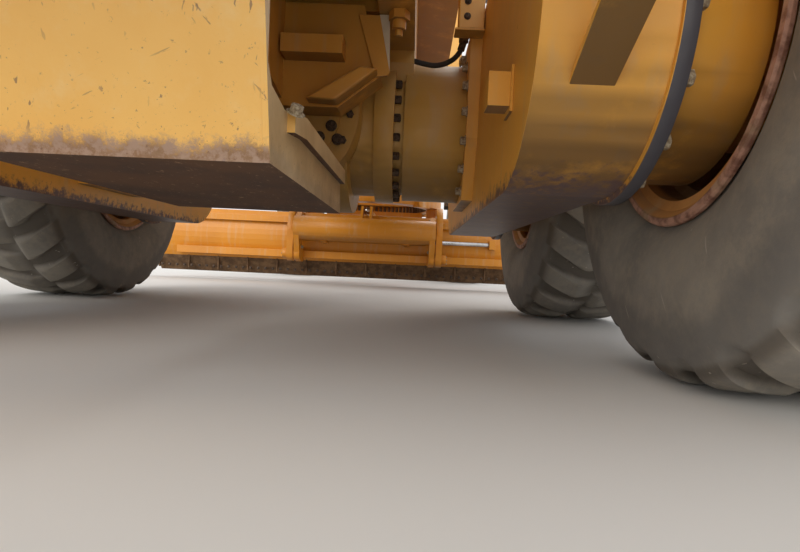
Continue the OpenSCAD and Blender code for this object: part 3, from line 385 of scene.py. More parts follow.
# Pale colour of the painted highlight on the lit edge of the mounting plate
PAINTED_HIGHLIGHT = plain("painted_highlight", rgb(214, 204, 180), 0.6)
TRIM = plain("cab_trim", rgb(46, 46, 48), 0.7)
CLOTH = plain("seat_cloth", rgb(62, 62, 66), 0.95, scale=260.0, share=0.6)
GLASS = clear_glass()
LENS = plain("lamp_lens", rgb(226, 230, 232), 0.12, scale=60.0, share=0.1)
RED_LENS = plain("red_lens", rgb(170, 34, 28), 0.18, scale=60.0, share=0.2)
AMBER_LENS = plain("amber_lens", rgb(226, 128, 30), 0.18, scale=60.0, share=0.2)
MIRROR = plain("mirror_glass", rgb(210, 214, 218), 0.05, 0.9, share=0.05)


# Shapes


def straight(start, end):
    """Rotation that turns +Z to the direction from start to end."""
    return (Vector(end) - Vector(start)).to_track_quat("Z", "Y").to_matrix()


def turns(count):
    """Angles of so many equal steps round a circle."""
    return [math.tau * i / count for i in range(count)]


def polar(radius, angle):
    return radius * math.cos(angle), radius * math.sin(angle)


def spoke(side, other, angle):
    """Direction at an angle in the plane of two directions."""
    return side * math.cos(angle) + other * math.sin(angle)


class Shape:
    """Vertices and faces gathered into one piece."""

    def __init__(self):
        self.points = []
        self.faces = []

    def add(self, points, faces):
        first = len(self.points)
        self.points += [Vector(p) for p in points]
        self.faces += [[first + i for i in face] for face in faces]
        return self

    def box(self, low, high):
        (a, b, c), (d, e, f) = low, high
        points = [(x, y, z) for x in (a, d) for y in (b, e) for z in (c, f)]
        faces = [(0, 1, 3, 2), (4, 6, 7, 5), (0, 4, 5, 1), (2, 3, 7, 6), (0, 2, 6, 4), (1, 5, 7, 3)]
        return self.add(points, faces)

    def prism(self, outline, axis, start, end):
        """Outline extruded along an axis; its two values lie along the other two axes, in X, Y, Z order."""
        def point(pair, along):
            values = list(pair)
            values.insert("XYZ".index(axis), along)
            return values
        count = len(outline)
        points = [point(p, start) for p in outline] + [point(p, end) for p in outline]
        faces = [list(range(count)), list(range(count, 2 * count))]
        faces += [[i, (i + 1) % count, count + (i + 1) % count, count + i] for i in range(count)]
        return self.add(points, faces)

    def turned(self, profile, centre, axis="X", segments=96, closed=True):
        """Profile of (radius, along) pairs turned round an axis through centre."""
        centre = Vector(centre)
        count = len(profile)
        points = []
        for angle in turns(segments):
            for radius, along in profile:
                u, v = polar(radius, angle)
                values = {"X": (along, u, v), "Y": (v, along, u), "Z": (u, v, along)}[axis]
                points.append(centre + Vector(values))
        faces = []
        for i in range(segments):
            j = (i + 1) % segments
            for k in range(count if closed else count - 1):
                m = (k + 1) % count
                faces.append((i * count + k, j * count + k, j * count + m, i * count + m))
        return self.add(points, faces)

    def rod(self, start, end, radius, segments=24, end_radius=None):
        start, end = Vector(start), Vector(end)
        length = (end - start).length
        tip = radius if end_radius is None else end_radius
        turn = straight(start, end)
        points = []
        for angle in turns(segments):
            for r, along in ((radius, 0.0), (tip, length)):
                points.append(start + turn @ Vector((*polar(r, angle), along)))
        ring = range(segments)
        faces = [(2 * i, 2 * ((i + 1) % segments), 2 * ((i + 1) % segments) + 1, 2 * i + 1) for i in ring]
        faces += [[2 * i for i in ring][::-1], [2 * i + 1 for i in ring]]
        return self.add(points, faces)

    def bolt(self, place, direction, size, height=None, washer=True):
        """Hex head with a chamfered top, standing on place; size is its radius."""
        place, direction = Vector(place), Vector(direction).normalized()
        height = height or size * 0.75
        if washer:
            self.rod(place, place + direction * size * 0.2, size * 1.35, 16)
        top = place + direction * height
        self.rod(place, top, size, 6)
        self.rod(top, top + direction * size * 0.14, size * 0.92, 6, size * 0.72)
        return self

    def tube(self, path, radius, segments=12):
        """Round tube along a list of points, with rings square to the path."""
        path = [Vector(p) for p in path]
        side = None
        points = []
        for i, here in enumerate(path):
            ahead = path[min(i + 1, len(path) - 1)] - path[max(i - 1, 0)]
            ahead.normalize()
            if side is None:
                side = ahead.orthogonal().normalized()
            side = (side - ahead * side.dot(ahead)).normalized()
            other = ahead.cross(side)
            for angle in turns(segments):
                points.append(here + spoke(side, other, angle) * radius)
        rings = len(path)
        faces = []
        for i in range(rings - 1):
            for k in range(segments):
                m = (k + 1) % segments
                first, second = i * segments, (i + 1) * segments
                faces.append((first + k, first + m, second + m, second + k))
        faces.append(list(range(segments))[::-1])
        faces.append([(rings - 1) * segments + k for k in range(segments)])
        return self.add(points, faces)

    def mirrored(self):
        """Adds the same shape on the machine's other side."""
        points = [Vector((-p.x, p.y, p.z)) for p in self.points]
        return self.add(points, [face[::-1] for face in self.faces])

    def make(self, name, body, material, bevel=0.0, segments=2, slot=None):
        mesh = bpy.data.meshes.new(name)
        mesh.from_pydata(self.points, [], self.faces)
        piece = show(name, mesh)
        tidy_mesh(mesh, 35.0)
        mesh.materials.append(material)
        if bevel:
            round_edges(piece, bevel, segments)
        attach(piece, body)


def show(name, data, place=(0, 0, 0)):
    """Puts a mesh, a light or a camera into the scene."""
    piece = bpy.data.objects.new(name, data)
    bpy.context.scene.collection.objects.link(piece)
    piece.location = place
    return piece


def tidy_mesh(mesh, smooth_angle):
    """Turns faces outwards and smooths what meets at less than the angle, in degrees."""
    work = bmesh.new()
    work.from_mesh(mesh)
    bmesh.ops.recalc_face_normals(work, faces=work.faces)
    work.to_mesh(mesh)
    work.free()
    mesh.polygons.foreach_set("use_smooth", [True] * len(mesh.polygons))
    mesh.set_sharp_from_angle(angle=math.radians(smooth_angle))


def round_edges(piece, width, segments=2):
    bevel = piece.modifiers.new("edges", "BEVEL")
    bevel.width = width
    bevel.segments = segments
    bevel.limit_method = "ANGLE"
    bevel.angle_limit = math.radians(40)
    bevel.harden_normals = True
    bevel.use_clamp_overlap = True


def smooth_path(points, steps=8):
    """Points of a smooth curve through the given ones."""
    points = [Vector(p) for p in points]
    ends = [points[0] * 2 - points[1], *points, points[-1] * 2 - points[-2]]
    path = []
    for a, b, c, d in zip(ends, ends[1:], ends[2:], ends[3:]):
        for i in range(steps):
            t = i / steps
            path.append(0.5 * ((2 * b) + (c - a) * t + (2 * a - 5 * b + 4 * c - d) * t * t
                               + (3 * b - a - 3 * c + d) * t ** 3))
    path.append(points[-1])
    return path


# Wheels

LUGS = 24                # lugs on each side of a tyre
COLUMNS = 16             # mesh columns for one lug and its groove
GROOVE_DEPTH = 0.027
LUG_SHARE = 0.60         # of the pitch, at the middle of the tread
CHEVRON = 0.115          # how far a lug leans, along the tyre's edge
HALF_SECTION = [         # radius and distance from the tyre's middle, from the bead to the crown
    (0.334, 0.196), (0.350, 0.206), (0.366, 0.213), (0.385, 0.228), (0.415, 0.243), (0.455, 0.254),
    (0.505, 0.2595), (0.560, 0.2575), (0.605, 0.252), (0.640, 0.243), (0.668, 0.228), (0.687, 0.206),
    (0.697, 0.176), (0.701, 0.135), (0.7035, 0.080), (0.705, 0.018)]
RIDGES = (0.520, 0.536)  # radii of two fine rings on the wall


def step(value, low, high):
    t = min(1.0, max(0.0, (value - low) / (high - low)))
    return t * t * (3 - 2 * t)


def tyre_section():
    """Half section as points with their distance along it from the crown, crown first."""
    curve = smooth_path([(r, x, 0) for r, x in HALF_SECTION], 4)
    curve = [(p.x, p.y) for p in curve][::-1]
    made, along = [], 0.0
    for i, (radius, x) in enumerate(curve):
        if i:
            along += math.dist(curve[i - 1], (radius, x))
        ridge = max(0.0, 1 - min(abs(radius - r) for r in RIDGES) / 0.003) * 0.0016
        made.append((radius, x + ridge, along))
    return made


def groove_depth(share, along):
    """Depth of the groove, by the share of the pitch from a lug's middle and the distance from the crown."""
    pitch = math.tau * TYRE_R / LUGS
    half_lug = pitch * (LUG_SHARE - 0.10 * step(along, 0.05, 0.16)) / 2
    into_groove = abs(share) * pitch - half_lug
    # The groove's end on the wall is round
    end = 0.245
    half_groove = pitch / 2 - half_lug
    past = along - (end - half_groove * 0.8)
    if past > 0:
        to_middle = (0.5 - abs(share)) * pitch
        reach = math.hypot(to_middle, past * 1.25)
        into_groove = half_groove - reach
    across = step(into_groove, -0.001, 0.010)
    fade = 1 - 0.65 * step(along, 0.19, end)
    centre = 1 - step(along, 0.010, 0.020)
    return GROOVE_DEPTH * max(across * fade, centre * 0.85)


def tyre_mesh():
    section = tyre_section()
    count = LUGS * COLUMNS
    rows = [(1, *p) for p in section[::-1]] + [(-1, *p) for p in section[1:]]
    points, faces = [], []
    for side, radius, x, along in rows:
        lean = CHEVRON * step(along, 0.0, 0.26) / TYRE_R
        offset = 0.0 if side > 0 else 0.5
        for i in range(count):
            share = (i / COLUMNS + offset) % 1.0
            share = share - 1.0 if share > 0.5 else share
            depth = groove_depth(share, along) if along < 0.26 else 0.0
            wall = step(along, 0.17, 0.23)
            r = radius - depth * (1 - wall * 0.85)
            out = x - depth * wall * 0.9
            angle = math.tau * i / count - lean
            points.append((side * out, *polar(r, angle)))
    for k in range(len(rows) - 1):
        for i in range(count):
            j = (i + 1) % count
            first, second = k * count, (k + 1) * count
            faces.append((first + i, first + j, second + j, second + i))
    # Closes the section between the beads
    last = (len(rows) - 1) * count
    for i in range(count):
        j = (i + 1) % count
        faces.append((last + i, last + j, j, i))
    mesh = bpy.data.meshes.new("tyre")
    mesh.from_pydata(points, [], faces)
    tidy_mesh(mesh, 42.0)
    mesh.materials.append(RUBBER)
    return mesh


RIM_SECTION = [          # closed section of rim and disc, as radius and distance from the tyre's middle
    (0.362, -0.231), (0.3655, -0.226), (0.3655, -0.219), (0.352, -0.213), (0.340, -0.208), (0.321, -0.203),
    (0.318, -0.150), (0.300, -0.132), (0.300, 0.120), (0.318, 0.150), (0.321, 0.203), (0.340, 0.208),
    (0.352, 0.213), (0.3655, 0.219), (0.3655, 0.226), (0.362, 0.231), (0.349, 0.231), (0.338, 0.222),
    (0.331, 0.212), (0.309, 0.205), (0.303, 0.150), (0.286, 0.134), (0.286, 0.094), (0.262, 0.090),
    (0.205, 0.090), (0.200, 0.086), (0.200, 0.062), (0.205, 0.058), (0.262, 0.058), (0.286, 0.054),
    (0.286, -0.134), (0.303, -0.150), (0.309, -0.205), (0.331, -0.212), (0.338, -0.222), (0.349, -0.231)]


def rim_mesh():
    s = Shape().turned(RIM_SECTION, (0, 0, 0), "X", 128)
    # Hub with its ring of nuts and its cap
    s.turned([(0.0, 0.128), (0.050, 0.128), (0.058, 0.122), (0.060, 0.104), (0.145, 0.100), (0.150, 0.096),
              (0.150, 0.090), (0.205, 0.090), (0.205, 0.060), (0.199, 0.060), (0.199, -0.020),
              (0.199, -0.186), (0.0905, -0.186), (0.0905, 0.088), (0.0, 0.088)], (0, 0, 0), "X", 96)
    for angle in turns(16):
        s.bolt((0.090, *polar(0.176, angle)), (1, 0, 0), 0.017, 0.020)
    mesh = bpy.data.meshes.new("rim")
    mesh.from_pydata(s.points, [], s.faces)
    tidy_mesh(mesh, 32.0)
    mesh.materials.append(RIM_PAINT)
    return mesh


def wheels():
    tyre, rim = tyre_mesh(), rim_mesh()
    for side, sign in SIDES:
        for where in ("rear", "middle", "front"):
            body = "wheel_%s_%s" % (side, where)
            place = middle("tyre_%s_%s" % (side, where))
            for kind, mesh, slot in (("tyre", tyre, "tyre_rubber"), ("rim", rim, "painted_frame")):
                node = "%s_%s_%s" % (kind, side, where)
                piece = show("dressed_" + node, mesh, place)
                if sign < 0 and kind == "rim":
                    piece.rotation_euler.z = math.pi
                bpy.context.view_layer.update()
                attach(piece, body)
                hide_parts(node)


# CAD nodes that keep their own shape

FINISH = {node: material for material, nodes in (
    (GUARD_PAINT, "transmission_guard"), (SHADED_AXLE_PAINT, "axle_housing"), (CASTING_PAINT, "transmission"),
    (TANDEM_PAINT, "tandem_left tandem_right"), (TRIM, "cab_interior"), (EDGE_STEEL, "cutting_edge"),
    (DARK_PAINT, "engine radiator rear_grille stacks cab_steps work_lamps mirrors rear_fittings tie_rod"),
    (GLASS, "cab_glass door_glass_left door_glass_right"),
    (BLADE_PAINT, "mouldboard circle blade_carrier drawbar shift_barrel")) for node in nodes.split()}


def dress_nodes():
    for name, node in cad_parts.items():
        if name.startswith(("tyre", "rim")):
            continue
        material = FINISH.get(name, ROD if "_rod" in name else PAINT)
        node.data.materials.clear()
        node.data.materials.append(material)
        if material != GLASS:
            weld = node.modifiers.new("weld", "WELD")
            weld.merge_threshold = 0.0002
            round_edges(node, 0.004)


# Details that ride on the CAD pieces

REAR, FRONT = "rear_body", "front_body"
BACKWARD, UPWARD = (0, -1, 0), (0, 0, 1)


def bolt_ring(shape, centre, axis, radius, count, size, height=None, turn=0.0, keep=None, washer=False):
    """Bolts in a ring round a centre, all pointing along the axis, such as (1, 0, 0)."""
    axis = Vector(axis)
    side = axis.orthogonal().normalized()
    other = axis.cross(side)
    for angle in turns(count):
        place = Vector(centre) + spoke(side, other, angle + turn) * radius
        if keep is None or keep(place):
            shape.bolt(place, axis, size, height, washer)
    return shape


def axle_details():
    nuts, heads = Shape(), Shape()
    for _, sign in SIDES:
        bolt_ring(nuts, (sign * 0.389, at(0), AXLE_Z), (sign, 0, 0), 0.2315, 24, 0.0135, 0.020)
        bolt_ring(heads, (sign * 0.620, at(0), AXLE_Z), (-sign, 0, 0), 0.261, 18, 0.0135, 0.016, 0.17,
                  lambda p: p.z > 0.475, True)
        # Drum bolts beside the gasket of each tandem wheel
        for axle in (REAR_AXLE, MIDDLE_AXLE):
            bolt_ring(heads, (sign * 0.905, axle.y, WHEEL_Z), (sign, 0, 0), 0.2995, 16, 0.0145, 0.016, 0.1,
                      None, True)
    bolt_ring(nuts, (0, at(-0.325), AXLE_Z), BACKWARD, 0.2595, 20, 0.012, 0.013, 0.08)
    nuts.make("axle_nuts", REAR, DARK_BOLT)
    heads.bolt((0.262, at(-1.105), 0.474), (0.35, -0.45, 0.82), 0.012, 0.014)
    heads.make("axle_bolts", REAR, BOLT)
    # Brake hoses from the axle to the tandem housings, with their fittings
    hoses, ends = Shape(), Shape()
    path = [(0.372, at(-0.165), 0.935), (0.400, at(-0.172), 0.915), (0.445, at(-0.178), 0.901),
            (0.514, at(-0.180), 0.889), (0.566, at(-0.186), 0.905), (0.594, at(-0.195), 0.935),
            (0.602, at(-0.200), 0.962)]
    hoses.tube(smooth_path(path, 8), 0.0085)
    ends.rod(path[0], path[1], 0.012, 16)
    ends.rod(path[-2], path[-1], 0.012, 16)
    ends.rod((0.602, at(-0.200), 0.958), (0.602, at(-0.200), 0.985), 0.016, 6)
    ends.box((0.590, at(-0.225), 0.980), (0.622, at(-0.175), 1.004))
    hoses.mirrored().make("brake_hoses", REAR, HOSE)
    ends.mirrored().make("hose_ends", REAR, DARK_BOLT, 0.001)
    # Bracket beside the tandem flange, and its bolts
    bracket = Shape().box((0.575, at(-0.335), 0.950), (0.652, at(-0.274), 1.110))
    bracket.box((0.565, at(-0.335), 0.944), (0.655, at(-0.270), 0.952))
    bracket.mirrored().make("flange_brackets", REAR, PAINT, 0.003)
    marks = Shape()
    for z in (0.985, 1.03, 1.075):
        marks.bolt((0.600, at(-0.335), z), BACKWARD, 0.008, 0.006)
    marks.mirrored().make("bracket_bolts", REAR, DARK_BOLT)
    # Plug under the frame rail
    plug = Shape()
    for top, foot, radius, sides in (
            (0.930, 0.905, 0.030, 6), (0.905, 0.880, 0.019, 24), (0.880, 0.862, 0.011, 6)):
        plug.rod((0.402, at(-0.47), top), (0.402, at(-0.47), foot), radius, sides)
    plug.mirrored().make("rail_plugs", REAR, CASTING_PAINT, 0.0015)


def casting_details():
    """Webs, bolts and the edge of the transmission's mounting plate."""
    outline = [(0.286, 0.928), (0.3745, 0.928), (0.380, 0.770), (0.374, 0.760), (0.340, 0.755)]
    plate = Shape().prism(outline, "Y", at(-0.452), at(-0.441))
    plate.mirrored().make("plate_edges", REAR, CASTING_PAINT, 0.002)
    # A thin pale sheet on the plate's back along its edge: a painted highlight where light catches the edge
    edge = Shape().prism([(0.346, 0.9275), (0.3742, 0.9275), (0.3797, 0.772)], "Y", at(-0.4545), at(-0.4515))
    edge.make("plate_edge_highlight", REAR, PAINTED_HIGHLIGHT)
    # Web from the case down to the plate's lower corner
    outline = [(0.150, 0.676), (0.236, 0.672), (0.352, 0.764), (0.300, 0.770)]
    web = Shape().prism(outline, "Y", at(-0.500), at(-0.441))
    web.mirrored().make("plate_webs", REAR, CASTING_PAINT, 0.008, 3)
    bolts = Shape()
    for x, z in ((0.205, 0.640), (0.170, 0.605), (0.225, 0.600)):
        bolts.bolt((x, at(-0.340), z), BACKWARD, 0.013, 0.012)
    for x in (-0.20, 0.20):
        for z in (0.76, 0.84, 0.92):
            bolts.bolt((x, at(-1.290), z), BACKWARD, 0.012, 0.010)
    bolts.make("casting_bolts", REAR, DARK_BOLT)


def tandem_details():
    plates, blocks = Shape(), Shape()
    for axle, way in ((REAR_AXLE, -1), (MIDDLE_AXLE, 1)):
        outline = [(0.262, 0.540), (0.520, 0.665), (0.520, 0.678), (0.268, 0.556)]
        plates.prism([(axle.y + way * along, z) for along, z in outline], "X", 0.716, 0.793)
    plates.mirrored().make("tandem_brackets", REAR, TANDEM_PAINT, 0.002)
    blocks.box((0.650, at(-0.908), 0.548), (0.656, at(-0.832), 0.642))
    blocks.mirrored().make("stop_plates", REAR, TANDEM_PAINT, 0.001)
    # Inspection covers and plugs on the outer walls
    covers, bolts = Shape(), Shape()
    for _, sign in SIDES:
        profile = [(0.0, -0.002), (0.115, -0.002), (0.120, 0.002), (0.120, 0.010), (0.0, 0.012)]
        covers.turned([(radius, sign * along) for radius, along in profile],
                      (sign * TANDEM_X, at(0), 0.705), "X", 64, False)
        bolt_ring(bolts, (sign * 0.888, at(0), 0.705), (sign, 0, 0), 0.103, 12, 0.009, 0.008)
        for y in (-0.42, 0.42):
            bolts.bolt((sign * TANDEM_X, at(y), 0.50), (sign, 0, 0), 0.020, 0.016)
    covers.make("tandem_covers", REAR, PAINT)
    bolts.make("cover_bolts", REAR, DARK_BOLT)


def blade_details():
    ribs, nuts, front = Shape(), Shape(), Shape()
    low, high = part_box("cutting_edge")
    back = low.y
    count = 15
    for i in range(count):
        x = low.x + 0.02 + (high.x - low.x - 0.04) * i / (count - 1)
        ribs.box((x - 0.007, back - 0.004, 0.100), (x + 0.007, back + 0.030, 0.236))
    for i in range(56):
        x = low.x + 0.045 + (high.x - low.x - 0.09) * i / 55
        nuts.bolt((x, back + 0.016, 0.128), (0, -1, 0.2), 0.011, 0.016)
        front.rod((x, high.y - 0.004, 0.150), (x, high.y + 0.003, 0.148), 0.012, 12)
    ribs.make("edge_ribs", "mouldboard", EDGE_STEEL, 0.002)
    nuts.make("edge_nuts", "mouldboard", DARK_BOLT, slot="worn_steel")
    front.make("edge_bolts", "mouldboard", WORN_STEEL)
    # Bolts on the caps of the tilt pivots, and three more bolts on each side
    caps = Shape()
    for _, sign in SIDES:
        bolt_ring(caps, (sign * 0.795, at(3.430), 0.290), (sign, 0, 0), 0.033, 4, 0.008, 0.008, 0.78)
        for z in (0.36, 0.56, 0.66):
            caps.bolt((sign * 0.625, at(3.470), z), (-sign, 0, 0), 0.016, 0.014)
    caps.make("carrier_bolts", "blade_carrier", BOLT, slot="painted_frame")


def surround(shape, axis, plane, proud, low, high, width=0.020):
    """Thin frame round a window; low and high are its corners along the other two axes."""
    (a, b), (c, d) = low, high
    for outline in (
            [(a - width, b - width), (c + width, b - width), (c + width, b), (a - width, b)],
            [(a - width, d), (c + width, d), (c + width, d + width), (a - width, d + width)],
            [(a - width, b), (a, b), (a, d), (a - width, d)],
            [(c, b), (c + width, b), (c + width, d), (c, d)]):
        shape.prism(outline, axis, plane, plane + proud)
    return shape


def hood_details():
    for side, sign in SIDES:
        latch = Shape()
        for z in (1.60, 1.90):
            latch.box((sign * HOOD_X, at(-1.470), z - 0.035), (sign * 0.553, at(-1.410), z + 0.035))
            latch.rod((sign * 0.553, at(-1.440), z), (sign * 0.562, at(-1.440), z), 0.016, 24)
        latch.make("hood_latches_" + side, "hood_door_" + side, DARK_PAINT, 0.002)
    latch = Shape().box((0.355, at(-2.072), 1.66), (0.405, at(-2.057), 1.74))
    latch.box((0.372, at(-2.090), 1.675), (0.388, at(-2.072), 1.725))
    for x in (-0.42, 0.42):
        for z in (1.36, 1.55, 1.85, 2.03):
            latch.bolt((x, at(-2.055), z), BACKWARD, 0.009, 0.007)
    latch.make("grille_latch", "rear_grille", DARK_BOLT, 0.0015)
    # Tail lamps
    red, amber = Shape(), Shape()
    for _, sign in SIDES:
        red.rod((sign * 0.742, at(-2.097), 1.148), (sign * 0.742, at(-2.106), 1.148), 0.027, 32, 0.023)
        amber.rod((sign * 0.798, at(-2.097), 1.148), (sign * 0.798, at(-2.106), 1.148), 0.027, 32, 0.023)
    red.make("tail_lenses", REAR, RED_LENS)
    amber.make("turn_lenses", REAR, AMBER_LENS)
    # Filler caps, clamps of the stacks and the hood's seams
    top = Shape()
    for x, y in ((0.20, -1.55), (-0.20, -0.60)):
        top.rod((x, at(y), 2.270), (x, at(y), 2.300), 0.052, 32, 0.048)
        top.rod((x, at(y), 2.300), (x, at(y), 2.318), 0.020, 6)
    for profile, x, y in (
            ([(0.083, 2.585), (0.094, 2.585), (0.094, 2.610), (0.055, 2.612)], -0.190, 0.150),
            ([(0.083, 2.290), (0.100, 2.290), (0.100, 2.312), (0.083, 2.312)], -0.190, 0.150),
            ([(0.080, 2.400), (0.092, 2.400), (0.092, 2.418), (0.080, 2.418)], 0.190, 0.620)):
        top.turned(profile, (x, at(y), 0), "Z", 48)
    top.make("hood_fittings", REAR, DARK_PAINT, 0.0015)
    seams = Shape()
    for y in (-1.62, 0.38):
        for sign in (-1, 1):
            seams.box((sign * 0.5395, at(y), 1.30), (sign * 0.5412, at(y + 0.004), 2.11))
    seams.make("hood_seams", REAR, DARK_PAINT)
    bolts = Shape()
    for sign in (-1, 1):
        for z in (1.34, 1.62, 1.90, 2.08):
            for y in (-1.70, 0.46, 1.20):
                bolts.bolt((sign * HOOD_X, at(y), z), (sign, 0, 0), 0.009, 0.007, None)
        for z in (0.82, 1.02, 1.20):
            for x in (0.62, 0.48):
                bolts.bolt((sign * x, at(-2.058), z), BACKWARD, 0.018, 0.015)
    bolts.make("hood_bolts", REAR, DARK_BOLT)


def engine_details():
    low, high = (Vector(corner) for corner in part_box("engine"))
    # The box holds the mounts too, which stand out past the block
    low.x, high.x = -ENGINE_HALF, ENGINE_HALF
    top = high.z
    s = Shape().box((-0.13, low.y + 0.12, top), (0.13, high.y - 0.12, top + 0.09))
    for i in range(6):
        y = low.y + 0.22 + (high.y - low.y - 0.44) * i / 5
        s.rod((0, y, top + 0.09), (0, y, top + 0.115), 0.028, 16)
        path = [(0.10, y, top + 0.03), (0.19, y, top + 0.02), (high.x + 0.02, y, top - 0.10)]
        s.tube(smooth_path(path, 5), 0.017)
    s.rod((high.x + 0.035, low.y + 0.15, top - 0.12), (high.x + 0.035, high.y - 0.15, top - 0.12), 0.040)
    for y in (0.35, 0.52):
        s.rod((low.x - 0.055, low.y + y, top - 0.34), (low.x - 0.055, low.y + y, top - 0.10), 0.050)
    s.rod((low.x - 0.05, high.y - 0.42, top - 0.18), (low.x - 0.05, high.y - 0.24, top - 0.18), 0.075)
    s.make("engine_parts", REAR, DARK_BOLT, 0.003)


LAMP_OUTLINE = [(-0.056, 3.424), (-0.046, 3.412), (0.046, 3.412), (0.056, 3.424),
                (0.056, 3.458), (0.046, 3.470), (-0.046, 3.470), (-0.056, 3.458)]


def cab_details():
    rubber = Shape()
    surround(rubber, "Y", at(3.800), 0.007, (-0.50, 1.98), (0.50, 3.335))
    surround(rubber, "Y", at(2.343), 0.007, (-0.56, 2.45), (0.56, 3.335))
    # Wipers
    for y, z, way in ((3.812, 1.99, 1), (2.338, 2.46, -1)):
        rubber.rod((0.06, at(y), z - 0.05), (0.06, at(y + way * 0.014), z - 0.05), 0.022, 20)
        rubber.tube([(0.06, at(y + way * 0.012), z - 0.05), (-0.16, at(y + way * 0.012), z + 0.38)], 0.006)
        rubber.box((-0.170, at(y), z + 0.10), (-0.156, at(y + way * 0.012), z + 0.70))
    rubber.make("cab_gaskets", FRONT, HOSE, 0.0015, slot="cab_trim")
    for side, sign in SIDES:
        door = Shape()
        for low, high in ((2.25, 3.235), (1.89, 2.18)):
            surround(door, "X", sign * CAB_X, sign * 0.006, (at(2.560), low), (at(3.240), high))
        door.box((sign * CAB_X, at(3.262), 2.195), (sign * 0.770, at(3.310), 2.245))
        door.rod((sign * 0.770, at(3.292), 2.220), (sign * 0.792, at(3.292), 2.220), 0.010, 16)
        door.box((sign * 0.786, at(3.215), 2.209), (sign * 0.797, at(3.305), 2.231))
        door.make("door_fittings_" + side, "cab_door_" + side, HOSE, 0.002, slot="cab_trim")
    # Lenses of the work lamps and glass of the mirrors
    lenses, glass = Shape(), Shape()
    for sign in (-1, 1):
        for x in (0.200, 0.480):
            for y, way in ((3.930, 1), (2.220, -1)):
                outline = [(sign * x + across, z) for across, z in LAMP_OUTLINE]
                lenses.prism(outline, "Y", at(y), at(y + way * 0.006))
        glass.box((sign * 1.050 - 0.092, at(3.5345), 2.872), (sign * 1.050 + 0.092, at(3.5375), 3.198))
    lenses.make("work_lenses", FRONT, LENS)
    glass.make("mirror_glass", FRONT, MIRROR, 0.001)
    # Ribs on the roof
    roof = Shape()
    for i in range(5):
        x = -0.44 + 0.22 * i
        outline = [(x - 0.035, 3.534), (x - 0.025, 3.546), (x + 0.025, 3.546), (x + 0.035, 3.534)]
        roof.prism(outline, "Y", at(2.48), at(3.60))
    roof.make("roof_ribs", FRONT, PAINT, 0.003)


def cab_inside():
    cloth, trim, knobs = Shape(), Shape(), Shape()
    cloth.box((-0.235, at(2.62), 2.228), (0.235, at(3.08), 2.275))
    cloth.box((-0.225, at(2.598), 2.30), (0.225, at(2.655), 2.84))
    cloth.box((-0.13, at(2.530), 2.88), (0.13, at(2.60), 3.04))
    for sign in (-1, 1):
        cloth.box((sign * 0.27, at(2.66), 2.43), (sign * 0.335, at(2.96), 2.48))
    cloth.make("seat_cushions", FRONT, CLOTH, 0.022, 4)
    for sign in (-1, 1):
        trim.rod((sign * 0.30, at(2.72), 2.20), (sign * 0.30, at(2.72), 2.44), 0.014, 16)
        trim.rod((sign * 0.06, at(2.565), 2.84), (sign * 0.06, at(2.565), 2.90), 0.008, 12)
    # Steering wheel on its column
    hub = Vector((0, at(3.435), 2.700))
    lean = Vector((0, -0.40, 0.916))
    side = Vector((1, 0, 0))
    other = lean.cross(side)
    ring = [hub + spoke(side, other, math.tau * i / 48) * 0.185 for i in range(49)]
    trim.tube(ring, 0.0135, 12)
    for angle in turns(3):
        trim.rod(hub, hub + spoke(side, other, angle + math.pi / 2) * 0.180, 0.010, 12)
    trim.rod(hub - lean * 0.16, hub + lean * 0.018, 0.034, 24)
    outline = [(at(3.400), 2.560), (at(3.545), 2.560), (at(3.545), 2.70), (at(3.500), 2.70)]
    trim.prism(outline, "X", -0.15, 0.15)
    for i in range(4):
        for sign in (-1, 1):
            x = sign * (0.165 + 0.022 * i)
            trim.rod((x, at(3.40), 2.560), (x, at(3.375), 2.665), 0.0045, 10)
            knobs.rod((x, at(3.375), 2.665), (x, at(3.369), 2.693), 0.010, 16, 0.0125)
    for x in (-0.14, 0.14):
        trim.box((x - 0.05, at(3.28), 1.785), (x + 0.05, at(3.40), 1.80))
        trim.rod((x, at(3.40), 1.79), (x, at(3.46), 1.86), 0.010, 12)
    trim.make("cab_controls", FRONT, TRIM, 0.001)
    knobs.make("lever_knobs", FRONT, RED_LENS, slot="cab_trim")


